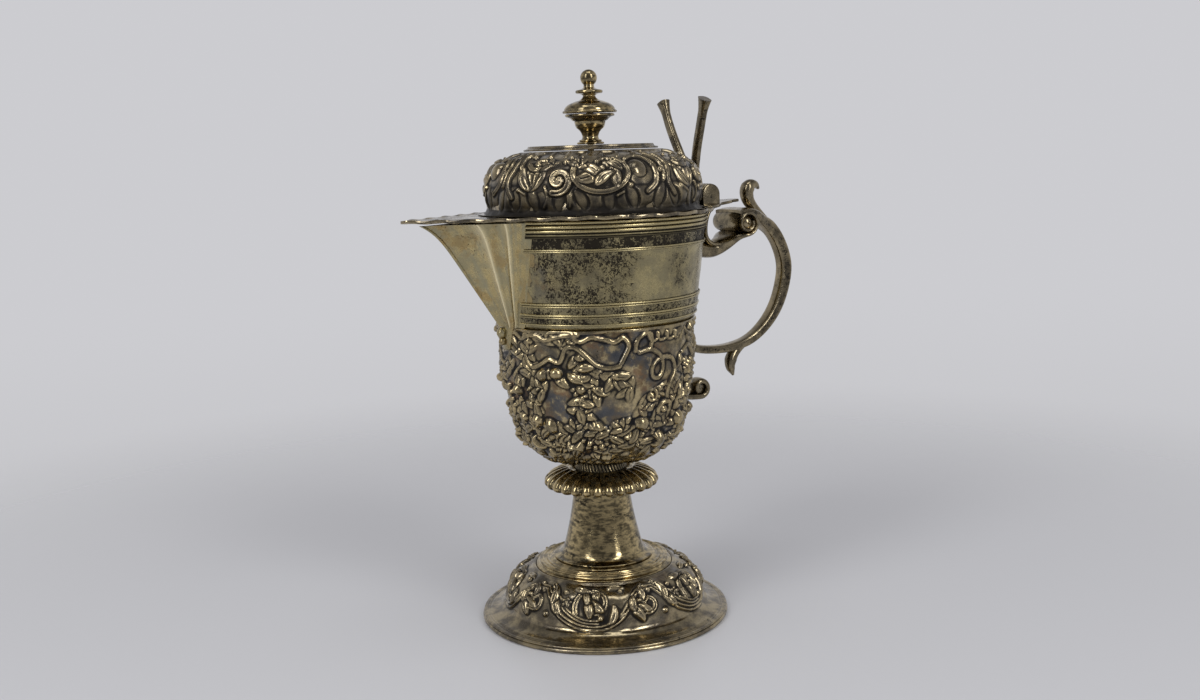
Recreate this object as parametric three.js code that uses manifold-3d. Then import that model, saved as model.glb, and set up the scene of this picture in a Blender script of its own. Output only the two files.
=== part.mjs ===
// A covered ewer in worn silver gilt: a chased bowl on a trumpet stem and domed foot, a beak spout,
// a scroll handle, and a hinged lid with a forked thumbpiece and a turned finial.
// Millimetres, +Z up. The spout points to -X, the handle to +X, and the foot stands on z = 0.
import * as THREE from "three";
import { mergeVertices } from "three/addons/utils/BufferGeometryUtils.js";
import Module from "manifold-3d";

const wasm = await Module();
wasm.setup();

// Fits
const GAP = 0.3; // between soldered or clamped pieces
const BORE_PLAY = 0.4; // radial play of a stud in its bore
const HINGE_PLAY = 0.4; // side play between knuckles
const BEZEL_PLAY = 0.9; // between the lid's locating ring and the rim

// Foot
const FOOT_R = 60;
const FOOT_RIM_W = 3.5;
const FOOT_RIM_H = 1.8;
const FOOT_SHEET = 1.0;
const FOOT_H = 27.3; // crest of the dome above the table
const FLANGE_RISE = 2.4;
const DOME_R = 48.2;
const DOME_CREST_R = 34.5;
const DOME_FLANK_H = 8; // upright lower part of the dome
const DOME_SWELL_H = 6.5; // reach of the curve above the flank
const DOME_SWELL_R = 8.5; // reach of the curve outside the crest
const DISH_DROP = 1; // seat of the step below the crest
const STEP_R = 32.2;
const STEP_H = 3.9;
const STEP_BORE_R = 20;
const STEP_REED_R = 1.3;

// Stem, collar and their stud
const STEM_FOOT_R = 24;
const STEM_FLARE_H = 4.2;
const STEM_FLARE_R = 19.2; // where the flare meets the cone
const STEM_TOP_R = 13.5;
const STEM_H = 31.9;
const STEM_WALL = 1.2;
const STEM_DISC = 2;
const COLLAR_R = 27.9;
const COLLAR_H = 9.9;
const COLLAR_MOUTH_R = 15.8;
const COLLAR_SEAT_DEPTH = 2.5;
const GADROONS = 28;
const GADROON_DEPTH = 1.1;
const NECK_R = 12.6;
const NECK_H = 7;
const STUD_R = 4;
const STUD_TAIL = 3;
const STUD_NUT_R = 8;
const STUD_NUT_H = 5;
const STUD_WASHER_R = 10.5;
const STUD_WASHER_H = 1;

// Bowl, wall and mouldings
const BOWL_FOOT_R = 15.6;
const BOWL_FOOT_SPREAD = 19.9;
const BOWL_FOOT_LIFT = 0.4;
const BOWL_R = 46.5;
const BOWL_ROUND_H = 40.1;
const BOWL_H = 67.1;
const SLEEVE = 1.0;
const BOSSES = 12; // chased fruit, sprays and swags in each row round the bowl
const BOSS_RISE = 2;
const FRUIT_UP = 13; // rows of bosses above the foot of the bowl
const SPRAY_UP = 33;
const SWAG_DOWN = 9; // below the top of the sleeve
const BODY_WALL = 1.3;
const WAIST_R = 47.2;
const WAIST_STEP_H = 2;
const WALL_MID_R = 51.2;
const RIM_R = 52.8;
const WALL_H = 49;
const RIM_BAND_H = 8;
const RIM_REEDS = 3;
const REED_DEPTH = 1.1;
const BAND_BACK = 0.4; // sheet behind the reeds
const WIRE_DOWN = 13.2; // wire below the rim
const WIRE_R = 0.8;
const WAIST_BAND_H = 10.6;
const WAIST_REEDS = 4;

// Spout
const SPOUT_TIP_X = 86.8;
const SPOUT_FOOT_X = 50.5;
const SPOUT_FLARE = 5.5; // last curl of the keel towards the tip
const SPOUT_FLARE_POWER = 12;
const SPOUT_BELOW_RIM = 0.9;
const SPOUT_FOOT_ANGLE = 14;
const SPOUT_TOP_ANGLE = 28;
const SPOUT_WALL = 1.3;
const SPOUT_FLOOR = 2;
const SPOUT_RIDGES = [0, 0.25, 0.5, 1]; // places from the root on the wall to the keel
const SPOUT_FLUTE_DEPTH = 0.9;
const SPOUT_LEVELS = 7;
const DROP_R = 2.6;
const DROP_TIP_R = 2;

// Handle
const HANDLE_REACH = 111; // outermost point from the vessel axis
const ROLL_X = 80.3;
const ROLL_BELOW_RIM = 8;
const ROLL_R = 6.2; // spiral, at the middle of the band
const ROLL_EYE_R = 2.1;
const ROLL_W = 26;
const ROLL_CLEAR = 1.9; // bar end from the spiral's middle line
const SCROLL_T = 2.2;
const SCROLL_NECK_T = 4.2;
const SCROLL_NECK_W = 11;
const SCROLL_DOWN = 23.2; // lowest part of the neck below the rim
const HANDLE_H = 70.6; // rim to the lowest part of the bar
const BAR_T = 4.4;
const BAR_TOP_W = 21;
const BAR_W = 10.5;
const BAR_ROOT_W = 12.5;
const LEAF_W = 7.6;
const LEAF_T = 4.8;
const LEAF_H = 20; // above the middle of the volute
const SPUR_W = 6.8;
const SPUR_T = 4.4;
const SPUR_H = 17.7;
const TAIL_UP = 26.9; // tail curl above the foot of the bowl
const TAIL_W = 10;
const TAIL_T = 2.4;
const TAIL_R = 4.3;
const TAIL_EYE_R = 1.3;
const TAIL_REACH = 62;

// Lid
const LID_SHEET = 1.4;
const FLANGE_R = 57;
const BEAK_REACH = 95;
const BEAK_TIP_R = 5;
const SCALLOPS = 30;
const SCALLOP_DEPTH = 0.9;
const LID_R = 52; // greatest radius of the dome
const LID_FOOT_R = 51.2;
const LID_BELLY_H = 11;
const LID_SHOULDER_R = 48.2;
const LID_SHOULDER_H = 22;
const LID_TOP_R = 33;
const LID_H = 27.8;
const LID_WALL = 1.0;
const SCROLLS = 8; // chased scrolls round the lid
const SCROLL_RING_R = 7.4;
const SCROLL_RING_T = 1.5;
const SCROLL_UP = 10; // middle of the scrolls above the foot of the lid
const LID_SEAT_W = 5.5;
const CAP_R = 31.5;
const CAP_H = 2.2;
const CAP_BEVEL = 1.2;
const BEZEL_H = 6;
const BEZEL_WALL = 1.2;

// Hinge and thumbpiece
const HINGE_X = 58.5;
const KNUCKLE_R = 4.1;
const HINGE_LIFT = 1.3; // barrel above the plates
const HINGE_W = 25;
const LID_KNUCKLE_W = 9;
const PIN_R = 1.5;
const TAIL_TIP_X = 82;
const TAIL_PLATE_W = 30;
const STRAP_T = 2;
const STRAP_W = 13;
const STRAP_LOW = 17; // strap end below the rim
const PRONG_W = 4.6;
const PRONG_T = 3.4;
const PRONG_FLARE = 1.5;
const PRONG_H = 41; // above the hinge barrel
const PRONG_SPREAD = 20;
const PRONG_LEAN = 5; // tips towards the lid's middle

// Finial
const VASE_H = 14;
const VASE_FOOT_R = 6.3;
const VASE_NECK_R = 3.8;
const VASE_BELLY_R = 7;
const VASE_LIP_R = 11.3;
const KNOP_R = 12.8;
const KNOP_H = 6;
const BEAD_DISC_R = 6.3;
const BEAD_DISC_H = 2.6;
const FINIAL_NECK_R = 2.6;
const FINIAL_NECK_H = 3;
const BALL_R = 3.9;
const FINIAL_STUD_R = 1.5;
const FINIAL_STUD_GRIP = 5; // length inside the knop
const FINIAL_NUT_R = 4.2;
const FINIAL_NUT_H = 3;
const FINIAL_WASHER_R = 6;
const FINIAL_WASHER_H = 0.8;
const FINIAL_STUD_TAIL = 1.5;

// Facets
const ROUND = 28;
const ROUND_SMALL = 20;

// Heights of the stacked pieces
const domeZ = FOOT_RIM_H + GAP;
const stepSeatZ = FOOT_H - DISH_DROP;
const stepZ = stepSeatZ + GAP;
const stemZ = stepZ + STEP_H + GAP;
const stemTopZ = stemZ + STEM_H;
const collarZ = stemTopZ + GAP;
const neckZ = collarZ + COLLAR_H - COLLAR_SEAT_DEPTH + GAP;
const bowlZ = neckZ + NECK_H + GAP;
const sleeveTopZ = bowlZ + BOWL_H;
const wallZ = sleeveTopZ + WAIST_STEP_H;
const rimZ = wallZ + WALL_H - WAIST_STEP_H;
const plateZ = rimZ + GAP;
const plateTopZ = plateZ + LID_SHEET;
const lidZ = plateTopZ + GAP;
const lidTopZ = lidZ + LID_H;
const capZ = lidTopZ + GAP;
const vaseZ = capZ + CAP_H + GAP;
const knopZ = vaseZ + VASE_H + GAP;
const hingeZ = plateTopZ + HINGE_LIFT + KNUCKLE_R;
const spoutZ = sleeveTopZ + GAP;
const spoutTopZ = rimZ - SPOUT_BELOW_RIM;
const rollZ = rimZ - ROLL_BELOW_RIM;
const axisX = (BEAK_REACH - HANDLE_REACH) / 2;

const v2 = (x, y) => new THREE.Vector2(x, y);
const v3 = (x, y, z) => new THREE.Vector3(x, y, z);
const yAxis = v3(0, 1, 0);
const xAxis = v3(1, 0, 0);

// A closed mesh as a solid for cutting and joining.
function solidOf(geometry) {
  const bare = geometry.clone();
  bare.deleteAttribute("normal");
  bare.deleteAttribute("uv");
  const merged = mergeVertices(bare, 1e-4);
  const index = merged.index.array;
  const triVerts = [];
  for (let i = 0; i < index.length; i += 3) {
    const [a, b, c] = [index[i], index[i + 1], index[i + 2]];
    if (a !== b && b !== c && c !== a) triVerts.push(a, b, c);
  }
  return new wasm.Manifold(
    new wasm.Mesh({
      numProp: 3,
      vertProperties: merged.attributes.position.array,
      triVerts: new Uint32Array(triVerts),
    }),
  );
}

function geometryOf(solid) {
  const mesh = solid.getMesh();
  const geometry = new THREE.BufferGeometry();
  geometry.setAttribute("position", new THREE.BufferAttribute(mesh.vertProperties, 3));
  geometry.setIndex(new THREE.BufferAttribute(mesh.triVerts, 1));
  geometry.computeVertexNormals();
  return geometry;
}

// A turned piece from its (radius, height) outline, which closes on itself or runs from axis to axis.
function turned(outline, facets = ROUND) {
  const onAxis = outline[0].x === 0;
  const loop = THREE.ShapeUtils.area(outline) < 0 ? [...outline].reverse() : [...outline];
  if (!onAxis) loop.push(loop[0].clone());
  return new THREE.LatheGeometry(loop, facets).rotateX(Math.PI / 2);
}

// The outline moved sideways by a distance, to its left as it is drawn.
function offsetLine(line, distance) {
  return line.map((point, i) => {
    const before = line[Math.max(i - 1, 0)];
    const after = line[Math.min(i + 1, line.length - 1)];
    const along = after.clone().sub(before).normalize();
    return v2(point.x - along.y * distance, point.y + along.x * distance);
  });
}

// Raised sheet: the outer line, drawn upwards, and the same line moved in by the wall.
function sheet(line, wall) {
  return [...line, ...offsetLine(line, wall).reverse()];
}

// A skin over a row of closed loops, with flat ends.
function loft(loops) {
  const count = loops[0].length;
  const points = loops.flat();
  const faces = [];
  for (let i = 0; i + 1 < loops.length; i++) {
    for (let j = 0; j < count; j++) {
      const a = i * count + j;
      const b = i * count + ((j + 1) % count);
      faces.push(a, b, a + count, b, b + count, a + count);
    }
  }
  const middle = (loop) => loop.reduce((sum, p) => sum.add(p), v3(0, 0, 0)).divideScalar(count);
  const last = (loops.length - 1) * count;
  const start = points.push(middle(loops[0])) - 1;
  const end = points.push(middle(loops.at(-1))) - 1;
  for (let j = 0; j < count; j++) {
    const next = (j + 1) % count;
    faces.push(next, j, start, last + j, last + next, end);
  }
  let volume = 0;
  for (let i = 0; i < faces.length; i += 3) {
    const [a, b, c] = [points[faces[i]], points[faces[i + 1]], points[faces[i + 2]]];
    volume += a.dot(b.clone().cross(c));
  }
  if (volume < 0) faces.reverse();
  const geometry = new THREE.BufferGeometry().setFromPoints(points);
  return geometry.setIndex(faces);
}

// A bar of rounded section along a curve: width lies along the side vector, depth across it.
const sectionPoints = Array.from({ length: 8 }, (_, k) => {
  const angle = ((k + 0.5) * Math.PI) / 4;
  const soften = (value) => Math.sign(value) * Math.sqrt(Math.abs(value));
  return v2(soften(Math.cos(angle)), soften(Math.sin(angle)));
});
function sweep(curve, steps, side, size) {
  const loops = [];
  for (let i = 0; i <= steps; i++) {
    const t = i / steps;
    const centre = curve.getPointAt(t);
    const across = curve.getTangentAt(t).cross(side).normalize();
    const [width, depth] = size(t);
    loops.push(
      sectionPoints.map((p) =>
        centre
          .clone()
          .addScaledVector(side, (p.x * width) / 2)
          .addScaledVector(across, (p.y * depth) / 2),
      ),
    );
  }
  return loft(loops);
}

// A curve in the vessel's middle plane through (x, z) points.
const planeCurve = (points) => {
  const places = points.map(([x, z]) => v3(x, 0, z));
  return new THREE.CatmullRomCurve3(places, false, "centripetal");
};

// Points of a spiral that winds in, upwards on its +X side.
function spiral(x, z, outer, inner, from, turns) {
  const steps = Math.round(turns * 9);
  return Array.from({ length: steps + 1 }, (_, k) => {
    const share = k / steps;
    const angle = THREE.MathUtils.degToRad(from) + share * turns * 2 * Math.PI;
    const radius = THREE.MathUtils.lerp(outer, inner, share);
    return [x + radius * Math.cos(angle), z + radius * Math.sin(angle)];
  });
}

// A straight round bar along Y.
const crossBar = (x, z, radius, width, y = 0, facets = ROUND_SMALL) =>
  new THREE.CylinderGeometry(radius, radius, width, facets).translate(x, y, z);

// A straight bar on the vessel axis: round, or six-sided for a nut.
const uprightBar = (radius, low, high, facets = ROUND_SMALL) => {
  const bar = new THREE.CylinderGeometry(radius, radius, high - low, facets);
  return bar.rotateX(Math.PI / 2).translate(0, 0, (low + high) / 2);
};

// A bar with a round bore, as a washer or a nut.
const bored = (radius, bore, low, high, facets = ROUND_SMALL) =>
  solidOf(uprightBar(radius, low, high, facets)).subtract(solidOf(uprightBar(bore, low - 1, high + 1)));

// Chased forms laid on a turned wall: each stands on the line at a height, turned round the axis,
// and is trimmed so that nothing shows on the inside of the sheet.
function chased(line, wall, forms) {
  const middle = offsetLine(line, wall / 2);
  const core = turned([v2(0, middle[0].y), ...middle, v2(0, middle.at(-1).y)]);
  const relief = forms.map(({ shape, z, angle, lean = 0 }) => {
    const k = line.findIndex((point) => point.y >= z);
    const [low, high] = [line[k - 1], line[k]];
    const radius = THREE.MathUtils.mapLinear(z, low.y, high.y, low.x, high.x);
    const slope = Math.atan2(low.x - high.x, high.y - low.y);
    const upright = shape.clone().rotateZ(lean).rotateX(Math.PI / 2).rotateZ(Math.PI / 2).rotateY(-slope);
    return solidOf(upright.translate(radius, 0, z).rotateZ(angle)).subtract(solidOf(core));
  });
  return wasm.Manifold.union(relief);
}

const block = (x0, x1, y0, y1, z0, z1) => {
  const box = new THREE.BoxGeometry(x1 - x0, y1 - y0, z1 - z0);
  return box.translate((x0 + x1) / 2, (y0 + y1) / 2, (z0 + z1) / 2);
};

const gilt = { color: 0xa98f4e, roughness: 0.35, metalness: 1 };
const wornGilt = { color: 0x8c7a48, roughness: 0.45, metalness: 1 };
const darkSilver = { color: 0x6b6350, roughness: 0.45, metalness: 1 };
const plainBrass = { color: 0x9a7b3a, roughness: 0.4, metalness: 1 };

const vessel = new THREE.Group();
const lid = new THREE.Group();
function put(group, name, shape, finish) {
  const geometry = shape.isBufferGeometry ? shape : geometryOf(shape);
  const mesh = new THREE.Mesh(geometry, new THREE.MeshStandardMaterial(finish));
  mesh.name = name;
  group.add(mesh);
}

// Foot: standing rim, raised dome with its flange, and a turned step
{
  const rim = [
    v2(FOOT_R - FOOT_RIM_W, 0),
    v2(FOOT_R - FOOT_RIM_H / 3, 0),
    v2(FOOT_R, FOOT_RIM_H / 2),
    v2(FOOT_R - FOOT_RIM_H / 3, FOOT_RIM_H),
    v2(FOOT_R - FOOT_RIM_W, FOOT_RIM_H),
  ];
  put(vessel, "foot_rim", turned(rim), gilt);

  const edgeZ = domeZ + FOOT_SHEET;
  const line = new THREE.Path();
  line.moveTo(FOOT_R - FOOT_RIM_H / 3, edgeZ);
  line.lineTo(DOME_R + 1, edgeZ + FLANGE_RISE);
  line.lineTo(DOME_R, edgeZ + FLANGE_RISE + 1.5);
  line.lineTo(DOME_R, edgeZ + DOME_FLANK_H);
  const flankZ = edgeZ + DOME_FLANK_H;
  const swellR = DOME_CREST_R + DOME_SWELL_R;
  line.bezierCurveTo(DOME_R, flankZ + DOME_SWELL_H, swellR, FOOT_H - 2, DOME_CREST_R, FOOT_H);
  line.lineTo(STEP_R + 1, stepSeatZ);
  line.lineTo(STEP_BORE_R, stepSeatZ);
  put(vessel, "foot_dome", turned(sheet(line.getPoints(4), FOOT_SHEET)), darkSilver);

  const step = new THREE.Path();
  step.moveTo(STEP_BORE_R, stepZ);
  step.lineTo(STEP_R - STEP_REED_R, stepZ);
  step.absarc(STEP_R - STEP_REED_R, stepZ + STEP_REED_R, STEP_REED_R, -Math.PI / 2, Math.PI / 2, false);
  step.lineTo(STEM_FOOT_R + 2 * STEP_REED_R, stepZ + 2 * STEP_REED_R);
  step.lineTo(STEM_FOOT_R + STEP_REED_R, stepZ + STEP_H);
  step.lineTo(STEP_BORE_R, stepZ + STEP_H);
  put(vessel, "foot_step", turned(step.getPoints(3)), gilt);
}

// Stem: a hollow trumpet closed by a disc that the stud passes through
const stemLine = new THREE.Path();
stemLine.moveTo(STEM_FOOT_R, stemZ);
stemLine.quadraticCurveTo(STEM_FLARE_R + 1, stemZ + 1, STEM_FLARE_R, stemZ + STEM_FLARE_H);
stemLine.quadraticCurveTo(STEM_TOP_R + 1.2, stemZ + STEM_H * 0.6, STEM_TOP_R, stemTopZ);
{
  const outer = stemLine.getPoints(3);
  const inner = offsetLine(outer, STEM_WALL).filter((p) => p.y < stemTopZ - STEM_DISC && p.y > stemZ);
  const under = inner.at(-1).x;
  const bore = STUD_R + BORE_PLAY;
  const outline = [
    ...outer,
    v2(bore, stemTopZ),
    v2(bore, stemTopZ - STEM_DISC),
    v2(under, stemTopZ - STEM_DISC),
    ...inner.reverse(),
    v2(inner.at(-1).x + 1, stemZ),
  ];
  put(vessel, "stem", turned(outline), gilt);
}

// Gadrooned collar: lobes round a turned cushion, with a seat for the neck ring
const seatZ = collarZ + COLLAR_H - COLLAR_SEAT_DEPTH;
{
  const bore = STUD_R + BORE_PLAY;
  const swell = new THREE.Path();
  swell.moveTo(bore, collarZ);
  swell.lineTo(STEM_TOP_R + 2, collarZ);
  swell.lineTo(COLLAR_R - 3, collarZ + 1.2);
  const mouthZ = collarZ + COLLAR_H;
  swell.bezierCurveTo(COLLAR_R + 1, collarZ + 2.5, COLLAR_R, mouthZ - 2.6, COLLAR_MOUTH_R, mouthZ);
  swell.lineTo(NECK_R + 1, seatZ);
  swell.lineTo(bore, seatZ);
  const outline = swell.getPoints(5);
  const facets = GADROONS * 2;
  const loops = [];
  for (const point of [...outline, outline[0]]) {
    const lobed = point.x > NECK_R + 1 && point.y > collarZ ? GADROON_DEPTH : 0;
    loops.push(
      Array.from({ length: facets }, (_, k) => {
        const angle = (k / facets) * 2 * Math.PI;
        const radius = point.x - lobed * (1 - Math.abs(Math.cos((GADROONS * angle) / 2)));
        return v3(radius * Math.cos(angle), radius * Math.sin(angle), point.y);
      }),
    );
  }
  const faces = [];
  for (let i = 0; i + 1 < loops.length; i++) {
    for (let j = 0; j < facets; j++) {
      const a = i * facets + j;
      const b = i * facets + ((j + 1) % facets);
      faces.push(a, b, a + facets, b, b + facets, a + facets);
    }
  }
  const cushion = new THREE.BufferGeometry().setFromPoints(loops.flat()).setIndex(faces);
  put(vessel, "gadroon_collar", solidOf(cushion), gilt);

  const neck = [
    v2(bore, neckZ),
    v2(NECK_R - 1, neckZ),
    v2(NECK_R, neckZ + NECK_H * 0.3),
    v2(NECK_R - 1.2, neckZ + NECK_H * 0.6),
    v2(NECK_R + 1, neckZ + NECK_H),
    v2(bore, neckZ + NECK_H),
  ];
  put(vessel, "neck_ring", turned(neck, ROUND_SMALL), wornGilt);
}

// Stud, washer and nut that clamp stem, collar and neck ring under the bowl
{
  const washerTop = stemTopZ - STEM_DISC - GAP;
  const nutTop = washerTop - STUD_WASHER_H - GAP;
  const nutZ = nutTop - STUD_NUT_H;
  const studTop = bowlZ + SLEEVE;
  const bore = STUD_R + BORE_PLAY;
  put(vessel, "stem_washer", bored(STUD_WASHER_R, bore, washerTop - STUD_WASHER_H, washerTop), plainBrass);
  put(vessel, "stem_nut", bored(STUD_NUT_R, bore, nutZ, nutTop, 6), plainBrass);
  put(vessel, "stem_stud", uprightBar(STUD_R, nutZ - STUD_TAIL, studTop), plainBrass);
}

// Bowl line, drawn upwards on the outside of the chased sleeve
const bowlPath = new THREE.Path();
bowlPath.moveTo(BOWL_FOOT_R, bowlZ);
bowlPath.bezierCurveTo(
  BOWL_FOOT_R + BOWL_FOOT_SPREAD,
  bowlZ + BOWL_FOOT_LIFT,
  BOWL_R - 1,
  bowlZ + BOWL_ROUND_H * 0.4,
  BOWL_R,
  bowlZ + BOWL_ROUND_H,
);
bowlPath.lineTo(WAIST_R, sleeveTopZ);
const bowlLine = bowlPath.getPoints(6);

// Radius of the bowl's outside at a height
function bowlRadius(z) {
  const k = bowlLine.findIndex((point) => point.y >= z);
  const [low, high] = [bowlLine[k - 1], bowlLine[k]];
  return THREE.MathUtils.mapLinear(z, low.y, high.y, low.x, high.x);
}

// Radius of the plain upper wall at a height
function wallRadius(z) {
  const t = (z - wallZ) / (rimZ - wallZ);
  return (1 - t) ** 2 * WAIST_R + 2 * t * (1 - t) * WALL_MID_R + t ** 2 * RIM_R;
}
const wallHeights = Array.from({ length: 4 }, (_, k) => THREE.MathUtils.lerp(wallZ, rimZ, k / 3));

// Space that the outside of the body takes, with the solder gap
function bodyClear() {
  const line = [v2(0, bowlZ - GAP), v2(BOWL_FOOT_R, bowlZ - GAP), ...offsetLine(bowlLine, -GAP)];
  for (const z of wallHeights) line.push(v2(wallRadius(z) + GAP, z));
  line.push(v2(RIM_R + GAP, plateTopZ), v2(0, plateTopZ));
  return solidOf(turned(line));
}

// Spout section at a height, moved out by an amount: root, fluted side, keel, the other side, and back
function spoutLoop(z, grow) {
  const height = THREE.MathUtils.clamp((z - spoutZ) / (spoutTopZ - spoutZ), 0, 1);
  const straight = SPOUT_TIP_X - SPOUT_FLARE - SPOUT_FOOT_X;
  const keel = -(SPOUT_FOOT_X + straight * height + SPOUT_FLARE * height ** SPOUT_FLARE_POWER);
  const spread = THREE.MathUtils.lerp(SPOUT_FOOT_ANGLE, SPOUT_TOP_ANGLE, height ** 0.8);
  const half = THREE.MathUtils.degToRad(spread);
  const root = wallRadius(Math.max(z, wallZ)) - BODY_WALL;
  const corner = v2(-root * Math.cos(half), root * Math.sin(half));
  const tip = v2(keel, 0);
  const out = tip.clone().sub(corner).normalize();
  const away = v2(out.y, -out.x).multiplyScalar(-1);
  if (away.y < 0) away.multiplyScalar(-1);
  const side = [];
  const dip = SPOUT_FLUTE_DEPTH * (0.3 + 0.7 * height);
  SPOUT_RIDGES.forEach((ridge, k) => {
    const before = SPOUT_RIDGES[k - 1] ?? ridge;
    const hollow = corner.clone().lerp(tip, (before + ridge) / 2);
    if (k) side.push(hollow.addScaledVector(away, grow - dip));
    side.push(corner.clone().lerp(tip, ridge).addScaledVector(away, grow));
  });
  side[side.length - 1].set(keel - grow / Math.max(away.x * -1, 0.3), 0);
  const mirror = side.slice(0, -1).reverse().map((p) => v2(p.x, -p.y));
  const deep = 2.5 * BODY_WALL;
  const behind = [v2(corner.x + deep, -corner.y * 0.8), v2(corner.x + deep, corner.y * 0.8)];
  return [...side, ...mirror, ...behind].map((p) => v3(p.x, p.y, z));
}
function spoutBody(grow, low, high) {
  const loops = [];
  for (let k = 0; k <= SPOUT_LEVELS; k++) {
    loops.push(spoutLoop(THREE.MathUtils.lerp(low, high, k / SPOUT_LEVELS), grow));
  }
  return solidOf(loft(loops));
}
const spoutHollow = spoutBody(-SPOUT_WALL, spoutZ + SPOUT_FLOOR, rimZ + 1);
const spoutSpace = spoutBody(GAP, spoutZ - GAP, rimZ + 1);

// Body wall with its opening into the spout, and the chased sleeve round the bowl
{
  const liner = offsetLine(bowlLine, SLEEVE + GAP);
  const upper = wallHeights.map((z) => v2(wallRadius(z), z));
  const shoulder = v2(WAIST_R - SLEEVE - GAP, sleeveTopZ);
  const outside = [v2(0, liner[0].y), ...liner.slice(0, -1), shoulder, ...upper];
  const inside = offsetLine(outside, BODY_WALL);
  inside[0].x = 0;
  inside.at(-1).set(RIM_R - BODY_WALL, rimZ);
  const wall = turned([...outside, ...inside.reverse()]);
  put(vessel, "body_wall", solidOf(wall).subtract(spoutHollow), wornGilt);

  const sleeveLine = [v2(STUD_R + BORE_PLAY, bowlZ), ...bowlLine];
  const boss = (wide, high) => new THREE.SphereGeometry(1, 10, 6).scale(wide, high, BOSS_RISE);
  const forms = [];
  for (let k = 0; k < BOSSES; k++) {
    const angle = ((k + 0.5) * 2 * Math.PI) / BOSSES;
    const lean = k % 2 ? 0.5 : -0.5;
    forms.push({ shape: boss(5, 4.6), z: bowlZ + FRUIT_UP, angle });
    forms.push({ shape: boss(4.2, 7), z: bowlZ + SPRAY_UP, angle, lean });
    forms.push({ shape: boss(7, 2.4), z: sleeveTopZ - SWAG_DOWN, angle, lean: lean / 2 });
  }
  const plain = solidOf(turned(sheet(sleeveLine, SLEEVE)));
  put(vessel, "bowl_sleeve", plain.add(chased(bowlLine, SLEEVE, forms)), wornGilt);
}

// Mouldings on the wall, stopped against the spout
function reededBand(low, high, reeds) {
  const pitch = (high - low) / reeds;
  const outline = [v2(wallRadius(low) + GAP, low)];
  for (let k = 0; k < reeds; k++) {
    for (let j = 0; j <= 2; j++) {
      const z = low + pitch * (k + 0.04 + (0.92 * j) / 2);
      const swell = BAND_BACK + (REED_DEPTH - BAND_BACK) * Math.sin((Math.PI * j) / 2);
      outline.push(v2(wallRadius(z) + GAP + swell, z));
    }
  }
  outline.push(v2(wallRadius(high) + GAP, high));
  return solidOf(turned(outline)).subtract(spoutSpace);
}
put(vessel, "rim_moulding", reededBand(rimZ - RIM_BAND_H, rimZ, RIM_REEDS), gilt);
put(vessel, "upper_wire", reededBand(rimZ - WIRE_DOWN - WIRE_R, rimZ - WIRE_DOWN + WIRE_R, 1), gilt);
put(vessel, "waist_moulding", reededBand(wallZ, wallZ + WAIST_BAND_H, WAIST_REEDS), gilt);

// Spout and the beaded drop below its keel
{
  const beak = spoutBody(0, spoutZ, spoutTopZ).subtract(spoutHollow).subtract(bodyClear());
  put(vessel, "spout", beak, gilt);

  const bead = (radius, z) => {
    const x = bowlRadius(z) + GAP + radius * 0.7;
    return solidOf(new THREE.SphereGeometry(radius, 10, 6).translate(-x, 0, z));
  };
  const topBead = spoutZ - GAP - DROP_R;
  const lowBead = topBead - DROP_R - DROP_TIP_R + 0.5;
  put(vessel, "spout_drop", bead(DROP_R, topBead).add(bead(DROP_TIP_R, lowBead)).subtract(bodyClear()), gilt);
}

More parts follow.
